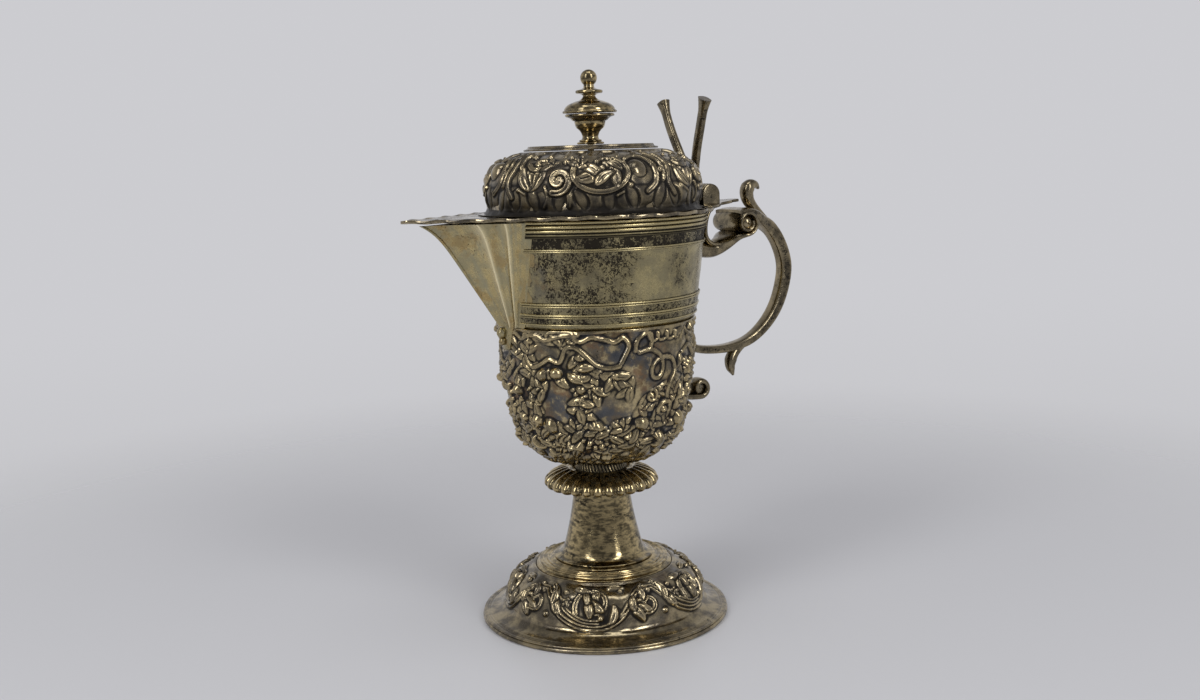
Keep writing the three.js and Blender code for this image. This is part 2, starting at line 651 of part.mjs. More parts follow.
// Handle: scroll from the body to the volute, bar, leaf, spur, and a tail scroll low on the bowl
{
  const lerp = THREE.MathUtils.lerp;
  const reach = HANDLE_REACH - BAR_T / 2;

  // Places on the handle, as shares of the way between the pieces that it joins
  const fromRim = (share) => lerp(RIM_R, ROLL_X, share);
  const outward = (share) => lerp(ROLL_X, reach, share);
  const inward = (share) => lerp(reach, WAIST_R, share);
  const neckDown = (share) => rimZ - SCROLL_DOWN * share;
  const barDown = (share) => rimZ - HANDLE_H * share;
  const leafUp = (share) => rollZ + LEAF_H * share;
  const spurDown = (share) => barDown(0.957) - SPUR_H * share;

  const scrollLine = planeCurve([
    [fromRim(-0.127), neckDown(0.884)],
    [fromRim(0.153), neckDown(0.974)],
    [fromRim(0.389), neckDown(1)],
    [fromRim(0.651), neckDown(0.914)],
    [fromRim(0.869), neckDown(0.715)],
    ...spiral(ROLL_X, rollZ, ROLL_R, ROLL_EYE_R + SCROLL_T / 2 - 0.2, -70, 1.12),
  ]);
  const scrollSize = (t) => {
    const spread = THREE.MathUtils.smoothstep(t, 0.28, 0.52);
    return [lerp(SCROLL_NECK_W, ROLL_W, spread), lerp(SCROLL_NECK_T, SCROLL_T, spread)];
  };
  const scroll = sweep(scrollLine, 30, yAxis, scrollSize);
  const eye = solidOf(crossBar(ROLL_X, rollZ, ROLL_EYE_R, ROLL_W + 1.4, 0, 12));
  put(vessel, "handle_scroll", solidOf(scroll).add(eye).subtract(bodyClear()), wornGilt);

  const barLine = planeCurve([
    [outward(0.122), rollZ + ROLL_R * 0.52],
    [outward(0.441), rollZ + ROLL_R * 0.21],
    [outward(0.688), barDown(0.17)],
    [outward(0.885), barDown(0.283)],
    [reach, barDown(0.439)],
    [inward(0.026), barDown(0.588)],
    [inward(0.103), barDown(0.744)],
    [inward(0.226), barDown(0.864)],
    [inward(0.38), barDown(0.952)],
    [inward(0.549), barDown(0.993)],
    [inward(0.711), barDown(1)],
    [inward(0.84), barDown(0.983)],
    [inward(0.976), barDown(0.952)],
  ]);
  const barSize = (more) => (t) => {
    const taper = t < 0.3 ? lerp(BAR_TOP_W, BAR_W, Math.sin((t / 0.3) * Math.PI * 0.5)) : BAR_W;
    const width = t > 0.88 ? lerp(BAR_W, BAR_ROOT_W, (t - 0.88) / 0.12) : taper;
    return [width + more, lerp(BAR_T, BAR_T * 0.8, t) + more];
  };
  const barEnds = [bodyClear(), solidOf(crossBar(ROLL_X, rollZ, ROLL_R - 0.7 + ROLL_CLEAR, ROLL_W * 1.2))];
  const bar = solidOf(sweep(barLine, 34, yAxis, barSize(0)));
  put(vessel, "handle_bar", bar.subtract(barEnds[0]).subtract(barEnds[1]), wornGilt);
  const barSpace = solidOf(sweep(barLine, 34, yAxis, barSize(2 * GAP)));

  const leafLine = planeCurve([
    [outward(0.635), leafUp(-0.025)],
    [outward(0.417), leafUp(0.325)],
    [outward(0.264), leafUp(0.6)],
    [outward(0.229), leafUp(0.85)],
    [outward(0.313), leafUp(1)],
    [outward(0.438), leafUp(0.92)],
  ]);
  const bud = (t) => (t < 0.5 ? lerp(0.8, 1, t / 0.5) : lerp(1, 0.6, (t - 0.5) / 0.5));
  const leaf = solidOf(sweep(leafLine, 14, yAxis, (t) => [LEAF_W * bud(t), LEAF_T * bud(t)]));
  put(vessel, "handle_leaf", leaf.subtract(barSpace).subtract(barEnds[1]), wornGilt);

  const spurLine = planeCurve([
    [inward(0.339), spurDown(0)],
    [inward(0.46), spurDown(0.192)],
    [inward(0.533), spurDown(0.418)],
    [inward(0.562), spurDown(0.7)],
    [inward(0.538), spurDown(1)],
  ]);
  const spur = solidOf(sweep(spurLine, 12, yAxis, (t) => [SPUR_W * bud(t), SPUR_T * bud(t)]));
  put(vessel, "handle_spur", spur.subtract(barSpace), wornGilt);

  const curlX = TAIL_REACH - TAIL_R - TAIL_T / 2;
  const curlZ = bowlZ + TAIL_UP;
  const tailLine = planeCurve([
    [BOWL_R - 6, curlZ - TAIL_R * 0.44],
    [BOWL_R + 2, curlZ - TAIL_R * 0.84],
    ...spiral(curlX, curlZ, TAIL_R, TAIL_EYE_R + TAIL_T / 2 - 0.2, -85, 0.86),
  ]);
  const curl = solidOf(sweep(tailLine, 24, yAxis, () => [TAIL_W, TAIL_T]));
  const curlEye = solidOf(crossBar(curlX, curlZ, TAIL_EYE_R, TAIL_W + 0.8, 0, 10));
  put(vessel, "tail_scroll", curl.add(curlEye).subtract(bodyClear()), wornGilt);
}

// Hinge bracket: tail plate over the handle, strap down the body, and the two outer knuckles
const lidBackX = HINGE_X - KNUCKLE_R - HINGE_PLAY; // where the lid's plate stops
const plateBackX = lidBackX + HINGE_PLAY;
{
  const tongue = new THREE.Shape();
  tongue.moveTo(plateBackX, -TAIL_PLATE_W / 2);
  tongue.quadraticCurveTo(HINGE_X + 5, -TAIL_PLATE_W / 2, HINGE_X + 8.5, -8.5);
  tongue.quadraticCurveTo(TAIL_TIP_X - 8, -8.5, TAIL_TIP_X - 5, -4);
  tongue.quadraticCurveTo(TAIL_TIP_X, -4, TAIL_TIP_X, 0);
  tongue.quadraticCurveTo(TAIL_TIP_X, 4, TAIL_TIP_X - 5, 4);
  tongue.quadraticCurveTo(TAIL_TIP_X - 8, 8.5, HINGE_X + 8.5, 8.5);
  tongue.quadraticCurveTo(HINGE_X + 5, TAIL_PLATE_W / 2, plateBackX, TAIL_PLATE_W / 2);
  const flat = { depth: LID_SHEET, bevelEnabled: false, curveSegments: 4 };
  const plate = new THREE.ExtrudeGeometry(tongue, flat).translate(0, 0, plateZ);

  const strapX = (z) => wallRadius(z) + 2 * GAP + REED_DEPTH + STRAP_T / 2;
  const strapLine = planeCurve([
    [strapX(rimZ - STRAP_LOW), rimZ - STRAP_LOW],
    [strapX(rimZ - 10), rimZ - 10],
    [strapX(rimZ - 4) + 0.3, rimZ - 4],
    [strapX(rimZ) + 2.6, rimZ - 0.6],
    [HINGE_X + 7, plateZ + LID_SHEET / 2],
  ]);
  const strap = solidOf(sweep(strapLine, 10, yAxis, () => [STRAP_W, STRAP_T]));

  const ear = (HINGE_W - LID_KNUCKLE_W) / 2 - HINGE_PLAY;
  const overPlate = block(0, 2 * HINGE_X, -STRAP_W, STRAP_W, plateTopZ, hingeZ);
  let bracket = solidOf(plate).add(strap.subtract(solidOf(overPlate)));
  const postX = [HINGE_X - KNUCKLE_R, HINGE_X + KNUCKLE_R];
  for (const hand of [-1, 1]) {
    const y = hand * (HINGE_W / 2 - ear / 2);
    const post = block(...postX, y - ear / 2, y + ear / 2, plateTopZ - LID_SHEET / 2, hingeZ);
    bracket = bracket.add(solidOf(crossBar(HINGE_X, hingeZ, KNUCKLE_R, ear, y))).add(solidOf(post));
  }
  const bore = solidOf(crossBar(HINGE_X, hingeZ, PIN_R + BORE_PLAY, HINGE_W * 2));
  const slotHalf = LID_KNUCKLE_W / 2 + HINGE_PLAY;
  const lidEar = block(0, HINGE_X + KNUCKLE_R + HINGE_PLAY, -slotHalf, slotHalf, plateTopZ, 2 * hingeZ);
  put(vessel, "hinge_bracket", bracket.subtract(bore).subtract(solidOf(lidEar)), wornGilt);
  put(vessel, "hinge_pin", crossBar(HINGE_X, hingeZ, PIN_R, HINGE_W), plainBrass);
}

// Lid plate: a round flange drawn out to a beak, with a scalloped edge, cut straight at the hinge
{
  const round = FLANGE_R - SCALLOP_DEPTH;
  const tipR = BEAK_TIP_R - SCALLOP_DEPTH;
  const tipX = -(BEAK_REACH - BEAK_TIP_R);
  const lean = Math.acos((round - tipR) / -tipX);
  const edge = new THREE.Path();
  edge.absarc(tipX, 0, tipR, Math.PI, Math.PI + lean, false);
  edge.absarc(0, 0, round, Math.PI + lean, 3 * Math.PI - lean, false);
  edge.absarc(tipX, 0, tipR, Math.PI - lean, Math.PI, false);
  const points = edge.getSpacedPoints(SCALLOPS * 4).slice(0, -1);
  const wavy = points.map((point, k) => {
    const before = points.at(k - 1);
    const after = points[(k + 1) % points.length];
    const along = after.clone().sub(before).normalize();
    const bulge = SCALLOP_DEPTH * Math.abs(Math.cos((k * Math.PI) / 4));
    return v2(point.x + along.y * bulge, point.y - along.x * bulge);
  });
  const outline = new THREE.Shape(wavy);
  outline.holes.push(new THREE.Path().absarc(0, 0, LID_FOOT_R - LID_SEAT_W, 0, 2 * Math.PI, true));
  const flat = { depth: LID_SHEET, bevelEnabled: false, curveSegments: ROUND / 2 };
  const plate = new THREE.ExtrudeGeometry(outline, flat).translate(0, 0, plateZ);
  const behind = block(lidBackX, BEAK_REACH, -FLANGE_R, FLANGE_R, plateZ - 1, plateTopZ + 1);
  put(lid, "lid_plate", solidOf(plate).subtract(solidOf(behind)), darkSilver);

  const bezelR = RIM_R - BODY_WALL - BEZEL_PLAY;
  const bezelTop = plateZ - GAP;
  const bezel = [
    v2(bezelR - BEZEL_WALL, bezelTop - BEZEL_H),
    v2(bezelR - BEZEL_WALL / 2, bezelTop - BEZEL_H),
    v2(bezelR, bezelTop - BEZEL_H / 2),
    v2(bezelR, bezelTop),
    v2(bezelR - BEZEL_WALL, bezelTop),
  ];
  put(lid, "lid_bezel", turned(bezel), gilt);
}

// Lid dome with the stepped cap that carries the finial
{
  const bore = FINIAL_STUD_R + BORE_PLAY;
  const line = new THREE.Path();
  line.moveTo(LID_FOOT_R, lidZ);
  line.quadraticCurveTo(LID_R, lidZ + LID_BELLY_H / 2, LID_R, lidZ + LID_BELLY_H);
  line.quadraticCurveTo(LID_R - 0.6, lidZ + LID_SHOULDER_H - 4, LID_SHOULDER_R, lidZ + LID_SHOULDER_H);
  line.quadraticCurveTo(LID_SHOULDER_R - 5, lidTopZ - 1.6, LID_TOP_R, lidTopZ);
  line.lineTo(bore, lidTopZ);
  const domeLine = line.getPoints(2);
  const ring = new THREE.TorusGeometry(SCROLL_RING_R, SCROLL_RING_T, 5, 14);
  const eye = new THREE.SphereGeometry(SCROLL_RING_R / 2, 8, 5).scale(1, 1, 0.5);
  const forms = [];
  for (let k = 0; k < SCROLLS; k++) {
    const place = { z: lidZ + SCROLL_UP, angle: ((k + 0.5) * 2 * Math.PI) / SCROLLS };
    forms.push({ shape: ring, ...place }, { shape: eye, ...place });
  }
  const plain = solidOf(turned(sheet(domeLine, LID_WALL)));
  put(lid, "lid_dome", plain.add(chased(domeLine.slice(0, -1), LID_WALL, forms)), darkSilver);

  const cap = [
    v2(bore, capZ),
    v2(CAP_R, capZ),
    v2(CAP_R, capZ + CAP_H * 0.3),
    v2(CAP_R - CAP_BEVEL, capZ + CAP_H * 0.6),
    v2(CAP_R - 2 * CAP_BEVEL, capZ + CAP_H),
    v2(bore, capZ + CAP_H),
  ];
  put(lid, "lid_cap", turned(cap), darkSilver);
}

// Finial: vase, knop with bead disc and ball, held by a stud with washer and nut inside the lid
{
  const bore = FINIAL_STUD_R + BORE_PLAY;
  const vase = new THREE.Path();
  vase.moveTo(bore, vaseZ);
  vase.lineTo(VASE_FOOT_R, vaseZ);
  vase.lineTo(VASE_FOOT_R - 0.4, vaseZ + 1.2);
  vase.lineTo(VASE_NECK_R, vaseZ + 3);
  vase.quadraticCurveTo(VASE_NECK_R, vaseZ + 5, VASE_BELLY_R - 1, vaseZ + 7);
  vase.quadraticCurveTo(VASE_BELLY_R, vaseZ + 9, VASE_BELLY_R + 0.6, vaseZ + 11);
  vase.lineTo(VASE_LIP_R, vaseZ + 12.8);
  vase.lineTo(VASE_LIP_R, vaseZ + VASE_H);
  vase.lineTo(bore, vaseZ + VASE_H);
  put(lid, "finial_vase", turned(vase.getPoints(2), ROUND_SMALL), gilt);

  const studTop = knopZ + FINIAL_STUD_GRIP;
  const neckLow = knopZ + KNOP_H;
  const discZ = neckLow + FINIAL_NECK_H;
  const ballZ = discZ + BEAD_DISC_H + BALL_R + 0.6;
  const knop = new THREE.Path();
  knop.moveTo(bore, knopZ);
  knop.lineTo(KNOP_R - 1, knopZ);
  knop.lineTo(KNOP_R, knopZ + 0.8);
  knop.quadraticCurveTo(KNOP_R - 1, knopZ + KNOP_H - 2, KNOP_R - 5, neckLow - 1);
  knop.lineTo(FINIAL_NECK_R + 2, neckLow);
  knop.lineTo(FINIAL_NECK_R, neckLow + FINIAL_NECK_H * 0.6);
  knop.lineTo(BEAD_DISC_R - 0.8, discZ);
  knop.lineTo(BEAD_DISC_R, discZ + BEAD_DISC_H * 0.4);
  knop.lineTo(BEAD_DISC_R - 2.2, discZ + BEAD_DISC_H);
  const throat = Math.asin((FINIAL_NECK_R - 0.3) / BALL_R);
  knop.absarc(0, ballZ, BALL_R, throat - Math.PI / 2, Math.PI / 2, false);
  const crown = [...knop.getPoints(3), v2(0, studTop + GAP), v2(bore, studTop + GAP)];
  crown[crown.length - 3].x = 0;
  const start = crown.length - 3;
  const outline = [...crown.slice(start + 1), ...crown.slice(0, start + 1)];
  put(lid, "finial_knop", turned(outline, ROUND_SMALL), gilt);

  const washerTop = lidTopZ - LID_WALL - GAP;
  const nutTop = washerTop - FINIAL_WASHER_H - GAP;
  const nutZ = nutTop - FINIAL_NUT_H;
  put(lid, "finial_washer", bored(FINIAL_WASHER_R, bore, washerTop - FINIAL_WASHER_H, washerTop), plainBrass);
  put(lid, "finial_nut", bored(FINIAL_NUT_R, bore, nutZ, nutTop, 6), plainBrass);
  put(lid, "finial_stud", uprightBar(FINIAL_STUD_R, nutZ - FINIAL_STUD_TAIL, studTop), plainBrass);
}

// Lid knuckle with its leaf on the plate, and the forked thumbpiece over it
{
  const leafX = LID_FOOT_R + GAP + 0.4;
  const leafZ = plateTopZ + GAP;
  const leaf = block(leafX, HINGE_X, -LID_KNUCKLE_W / 2, LID_KNUCKLE_W / 2, leafZ, hingeZ);
  const barrel = solidOf(crossBar(HINGE_X, hingeZ, KNUCKLE_R, LID_KNUCKLE_W)).add(solidOf(leaf));
  const dome = solidOf(uprightBar(LID_R + GAP, lidZ, lidTopZ, ROUND));
  const bore = solidOf(crossBar(HINGE_X, hingeZ, PIN_R + BORE_PLAY, HINGE_W));
  put(lid, "lid_knuckle", barrel.subtract(dome).subtract(bore), wornGilt);

  const barrelTop = hingeZ + KNUCKLE_R;
  let fork = null;
  for (const hand of [-1, 1]) {
    const tip = hand * (PRONG_SPREAD - PRONG_W / 4);
    const onProng = (lean, spread, rise) =>
      v3(HINGE_X - PRONG_LEAN * lean, tip * spread, barrelTop + PRONG_H * rise);
    const prongLine = new THREE.CatmullRomCurve3([
      v3(HINGE_X, hand * 0.6, hingeZ + 1),
      onProng(0.2, 0.138, 0.122),
      onProng(0.6, 0.408, 0.39),
      onProng(0.88, 0.743, 0.707),
      onProng(1, 1, 1),
    ]);
    const flare = (t) => (t > 0.85 ? 1 + ((PRONG_FLARE - 1) * (t - 0.85)) / 0.15 : 1);
    const prong = solidOf(sweep(prongLine, 12, xAxis, (t) => [PRONG_T * flare(t), PRONG_W * flare(t)]));
    fork = fork ? fork.add(prong) : prong;
  }
  const seat = solidOf(crossBar(HINGE_X, hingeZ, KNUCKLE_R + GAP, HINGE_W));
  put(lid, "thumb_fork", fork.subtract(seat), wornGilt);
}

const ewer = new THREE.Group();
ewer.add(vessel, lid);
ewer.position.x = axisX;
export default ewer;
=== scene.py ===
import math

import bpy
import numpy as np
from mathutils import Euler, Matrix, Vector


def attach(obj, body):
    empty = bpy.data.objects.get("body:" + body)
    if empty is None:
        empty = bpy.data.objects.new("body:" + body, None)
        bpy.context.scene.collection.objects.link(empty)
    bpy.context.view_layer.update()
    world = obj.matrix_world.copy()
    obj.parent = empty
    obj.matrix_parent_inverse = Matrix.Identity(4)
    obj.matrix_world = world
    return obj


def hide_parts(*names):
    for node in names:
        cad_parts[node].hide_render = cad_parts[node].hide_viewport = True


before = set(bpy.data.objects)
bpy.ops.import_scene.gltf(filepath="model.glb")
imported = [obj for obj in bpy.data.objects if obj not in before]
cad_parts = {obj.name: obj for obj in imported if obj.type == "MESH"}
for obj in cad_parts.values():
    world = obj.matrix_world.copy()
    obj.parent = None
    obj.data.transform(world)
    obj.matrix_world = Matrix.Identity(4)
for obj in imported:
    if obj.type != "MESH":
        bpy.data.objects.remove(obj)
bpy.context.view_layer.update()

mm = 0.001
axisX = -8.0  # vessel axis in the row frame, mm
scene = bpy.context.scene
scene.view_settings.view_transform = "Standard"
print("frame loaded,", len(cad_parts), "nodes")


# camera and studio

camera = {
    "place": (-0.29245, -0.53498, 0.22365),
    "tilt": 81.148,
    "roll": -1.81,
    "turn": -28.126,
    "lens": 38.4,
    "sensor": 36,
    "near": 0.01,
}


def setCamera():
    bpy.ops.object.camera_add(location=camera["place"])
    view = bpy.context.object
    tilt, roll, turn = (math.radians(camera[name]) for name in ("tilt", "roll", "turn"))
    aimed = Euler((0, 0, turn)).to_matrix() @ Euler((tilt, 0, 0)).to_matrix()
    view.rotation_euler = (aimed @ Euler((0, 0, roll)).to_matrix()).to_euler()
    view.data.lens = camera["lens"]
    view.data.sensor_width = camera["sensor"]
    view.data.sensor_fit = "HORIZONTAL"
    view.data.clip_start = camera["near"]
    scene.camera = view


studio = {
    "floorSize": 6,
    "floorColour": (0.64, 0.64, 0.66, 1),
    "floorFade": (0.17, 0.64),  # the floor thins out into the backdrop between these distances, m
    "backPale": (0.605, 0.605, 0.632, 1),
    "backLow": (0.56, 0.56, 0.582, 1),
    "backWay": (0.47, 0.88, 0),  # from the camera towards the backdrop
    "roomDark": (0.16, 0.16, 0.17, 1),
    "aim": (axisX * mm, 0, 0.13),
    # azimuth and elevation seen from the object, distance m, width and height m, watts
    "boxes": [
        ("leftBox", -72, 32, 1.05, 0.28, 0.85, 4.2),
        ("rightBox", 16, 28, 1.1, 0.26, 0.85, 4.2),
        ("topBox", -30, 82, 1.3, 0.8, 0.5, 2.6),
    ],
}


def paintFloor(tree):
    # pale and slightly glossy, thinning out with the distance from the middle
    shader, out = tree.nodes["Principled BSDF"], tree.nodes["Material Output"]
    shader.inputs["Base Color"].default_value = studio["floorColour"]
    shader.inputs["Roughness"].default_value = 0.38
    shader.inputs["Specular IOR Level"].default_value = 0.4
    away = node(tree, "ShaderNodeVectorMath", operation="LENGTH")
    link(tree, coordinates(tree, "Object"), away.inputs[0])
    clear, mix = node(tree, "ShaderNodeBsdfTransparent"), node(tree, "ShaderNodeMixShader")
    link(tree, span(tree, away.outputs["Value"], *studio["floorFade"]), mix.inputs[0])
    link(tree, shader.outputs[0], mix.inputs[1])
    link(tree, clear.outputs[0], mix.inputs[2])
    link(tree, mix.outputs[0], out.inputs["Surface"])


def paintRoom(tree):
    # pale backdrop behind the object, a dimmer room in front and overhead
    ways = coordinates(tree, "Generated")
    split = node(tree, "ShaderNodeSeparateXYZ")
    link(tree, ways, split.inputs[0])
    height = split.outputs[2]
    facing = node(tree, "ShaderNodeVectorMath", operation="DOT_PRODUCT")
    link(tree, ways, facing.inputs[0])
    link(tree, studio["backWay"], facing.inputs[1])
    pale = blendColour(tree, span(tree, height, -0.26, -0.1), studio["backLow"], studio["backPale"])
    side = span(tree, facing.outputs["Value"], -0.75, 0.45, 0.72, 0.0)
    above = span(tree, height, 0.3, 0.9, 0.0, 0.8)
    dark = sums(tree, "MAXIMUM", sums(tree, "MULTIPLY", side, span(tree, height, -0.3, 0.1)), above)
    link(tree, blendColour(tree, dark, pale, studio["roomDark"]), tree.nodes["Background"].inputs["Color"])


def setStudio():
    bpy.ops.object.select_all(action="DESELECT")
    bpy.ops.mesh.primitive_plane_add(size=studio["floorSize"], location=(0, 0, 0))
    floor = bpy.context.object
    floor.name = "studioFloor"
    paint = bpy.data.materials.new("paleFloor")
    paint.use_nodes = True
    paintFloor(paint.node_tree)
    floor.data.materials.append(paint)
    world = bpy.data.worlds.new("studioWorld")
    scene.world = world
    world.use_nodes = True
    paintRoom(world.node_tree)
    aim = Vector(studio["aim"])
    for name, azimuth, elevation, far, wide, high, watts in studio["boxes"]:
        az, el = math.radians(azimuth - 90), math.radians(elevation)
        spot = aim + far * Vector((math.cos(az) * math.cos(el), math.sin(az) * math.cos(el), math.sin(el)))
        bpy.ops.object.light_add(type="AREA", location=spot)
        lamp = bpy.context.object
        lamp.name = name
        lamp.rotation_euler = (aim - spot).to_track_quat("-Z", "Y").to_euler()
        lamp.data.shape = "RECTANGLE"
        lamp.data.size, lamp.data.size_y = wide, high
        lamp.data.energy = watts


# finishes


def node(tree, kind, **values):
    made = tree.nodes.new(kind)
    for key, value in values.items():
        if hasattr(made, key):
            setattr(made, key, value)
        else:
            made.inputs[key].default_value = value
    return made


def link(tree, value, slot):
    # a number or colour is set, an output is connected
    if isinstance(value, (int, float, tuple)):
        slot.default_value = value
    else:
        tree.links.new(value, slot)


def attribute(tree, name):
    return node(tree, "ShaderNodeAttribute", attribute_name=name).outputs["Fac"]


def coordinates(tree, kind):
    return node(tree, "ShaderNodeTexCoord").outputs[kind]


def noise(tree, where, scale, detail, rough, bend=0.0):
    made = node(tree, "ShaderNodeTexNoise", Detail=detail, Roughness=rough, Distortion=bend)
    link(tree, where, made.inputs["Vector"])
    link(tree, scale, made.inputs["Scale"])
    return made.outputs[0]


def sums(tree, how, a, b, clamp=False):
    made = node(tree, "ShaderNodeMath", operation=how, use_clamp=clamp)
    for slot, value in zip(made.inputs, (a, b)):
        link(tree, value, slot)
    return made.outputs[0]


def span(tree, value, low, high, toLow=0.0, toHigh=1.0):
    made = node(tree, "ShaderNodeMapRange", interpolation_type="SMOOTHSTEP")
    link(tree, value, made.inputs["Value"])
    for name, limit in (("From Min", low), ("From Max", high), ("To Min", toLow), ("To Max", toHigh)):
        link(tree, limit, made.inputs[name])
    return made.outputs[0]


def blendColour(tree, share, a, b, how="MIX"):
    made = node(tree, "ShaderNodeMix", data_type="RGBA", blend_type=how)
    for slot, value in ((made.inputs[0], share), (made.inputs[6], a), (made.inputs[7], b)):
        link(tree, value, slot)
    return made.outputs[2]


setCamera()
setStudio()
print("camera and studio set")

patinaLook = {
    "colours": ("gilt", "worn", "soot"),
    "amounts": ("speck", "size", "wear", "patch", "recess", "polish"),
    "wash": (0.075, 0.062, 0.042, 1),  # brown, over stained walls
    "margin": (0.40, 0.31, 0.15, 1),  # yellow, along soldered seams
    # painted highlight together with rubbed gilding on the crests
    "rubbed": (1.22, 1.2, 1.16, 1),  # crests are lightened by this
    # blue, violet and rust film, by the height of its noise
    "filmLow": (0.36, (0.060, 0.070, 0.088, 1)),
    "filmHigh": (0.68, (0.17, 0.13, 0.06, 1)),
    "filmMid": (
        (0.46, (0.095, 0.098, 0.105, 1)),
        (0.53, (0.15, 0.122, 0.09, 1)),
        (0.58, (0.20, 0.125, 0.075, 1)),
    ),
}


def patinaGroup():
    tree = bpy.data.node_groups.new("patina", "ShaderNodeTree")
    taken = [(name.capitalize(), "Color") for name in patinaLook["colours"]]
    taken += [(name.capitalize(), "Float") for name in patinaLook["amounts"]] + [("Where", "Vector")]
    passed = [("Colour", "Color"), ("Roughness", "Float"), ("Metal", "Float"), ("Height", "Float")]
    for way, sockets in (("INPUT", taken), ("OUTPUT", passed)):
        for name, kind in sockets:
            tree.interface.new_socket(name, in_out=way, socket_type="NodeSocket" + kind)
    into, out = node(tree, "NodeGroupInput").outputs, node(tree, "NodeGroupOutput").inputs
    where = into["Where"]
    marks = ("hollow", "crest", "stain", "film", "margin")
    hollow, crest, stain, flush, margin = (attribute(tree, name) for name in marks)

    def times(a, b, clamp=False):
        return sums(tree, "MULTIPLY", a, b, clamp)

    def plus(a, b):
        return sums(tree, "ADD", a, b)

    def minus(a, b):
        return sums(tree, "SUBTRACT", a, b)

    def most(a, b):
        return sums(tree, "MAXIMUM", a, b)

    def distance(a, b):
        return sums(tree, "ABSOLUTE", minus(a, b), 0)

    clouds = noise(tree, where, 55, 3, 0.55)
    patches = noise(tree, where, into["Patch"], 6, 0.64)
    spots = noise(tree, where, into["Size"], 7, 0.72)
    grit = noise(tree, where, 2100, 4, 0.6)
    # black specks gather where the clouds are thick
    speckle = plus(spots, times(minus(clouds, 0.5), 0.7))
    edge = minus(0.82, times(into["Speck"], 0.42))
    specks = span(tree, speckle, edge, plus(edge, 0.09))
    # fine dots and worm-like lines where the wall is stained, in clusters
    cluster = noise(tree, where, 150, 4, 0.6)
    dense = times(stain, minus(times(cluster, 2.4), 0.5))
    rim = minus(0.74, times(dense, 0.27))
    dots = span(tree, noise(tree, where, 900, 3, 0.6, 0.6), rim, plus(rim, 0.022))
    thick = times(dense, 0.03)
    off = distance(noise(tree, where, 430, 3, 0.6, 0.8), 0.5)
    worm = span(tree, off, thick, plus(thick, 0.014), 1.0, 0.0)
    worm = times(worm, span(tree, dense, 0.3, 0.6))
    specks = most(most(specks, dots), worm)
    # worn gilding under fine grit
    worn = times(span(tree, patches, 0.38, 0.62), into["Wear"], True)
    body = blendColour(tree, worn, into["Gilt"], into["Worn"])
    tint = span(tree, grit, 0.3, 0.7, 0.8, 1.12)
    shade = node(tree, "ShaderNodeCombineColor")
    for slot in shade.inputs:
        link(tree, tint, slot)
    body = blendColour(tree, 1.0, body, shade.outputs[0], "MULTIPLY")
    # brown wash over the stained wall, and a yellow margin with a dark edge along soldered seams
    wash = sums(tree, "MINIMUM", times(stain, span(tree, clouds, 0.3, 0.65, 0.15, 0.5)), 0.75)
    body = blendColour(tree, wash, body, patinaLook["wash"])
    brim = plus(margin, times(minus(patches, 0.5), 2.2))
    beside = span(tree, margin, 0.02, 0.15)
    body = blendColour(tree, times(span(tree, brim, 0.46, 0.54), beside), body, patinaLook["margin"])
    outline = times(span(tree, distance(brim, 0.47), 0.0, 0.06, 0.8, 0.0), beside)
    # film on sheltered ground
    film = node(tree, "ShaderNodeValToRGB")
    stops = film.color_ramp.elements
    stops[0].position, stops[0].color = patinaLook["filmLow"]
    stops[1].position, stops[1].color = patinaLook["filmHigh"]
    for place, tone in patinaLook["filmMid"]:
        stops.new(place).color = tone
    link(tree, noise(tree, where, 62, 4, 0.6), film.inputs[0])
    filmed = times(flush, span(tree, patches, 0.34, 0.5), True)
    body = blendColour(tree, filmed, body, film.outputs[0])
    # crests lightened with gilt, rubbed gilding and a painted highlight; black specks, and tarnish with
    # painted shade in the hollows
    recess = times(span(tree, hollow, 0.18, 0.9), into["Recess"], True)
    bright = blendColour(tree, times(crest, 0.6, True), body, into["Gilt"])
    bright = blendColour(tree, crest, bright, patinaLook["rubbed"], "MULTIPLY")
    dirt = most(times(specks, minus(1.0, crest)), recess)
    dirt = sums(tree, "MINIMUM", most(dirt, outline), 0.95)
    link(tree, blendColour(tree, dirt, bright, into["Soot"]), out["Colour"])
    rough = plus(span(tree, patches, 0.3, 0.7, 0.16, 0.32), times(dirt, 0.3))
    rough = minus(rough, into["Polish"])
    link(tree, plus(rough, span(tree, grit, 0.3, 0.7, -0.04, 0.05)), out["Roughness"])
    link(tree, minus(1.0, times(dirt, 0.35)), out["Metal"])
    tall = plus(times(grit, 0.3), times(patches, 0.5))
    link(tree, minus(tall, times(dirt, 0.4)), out["Height"])
    return tree


patina = patinaGroup()
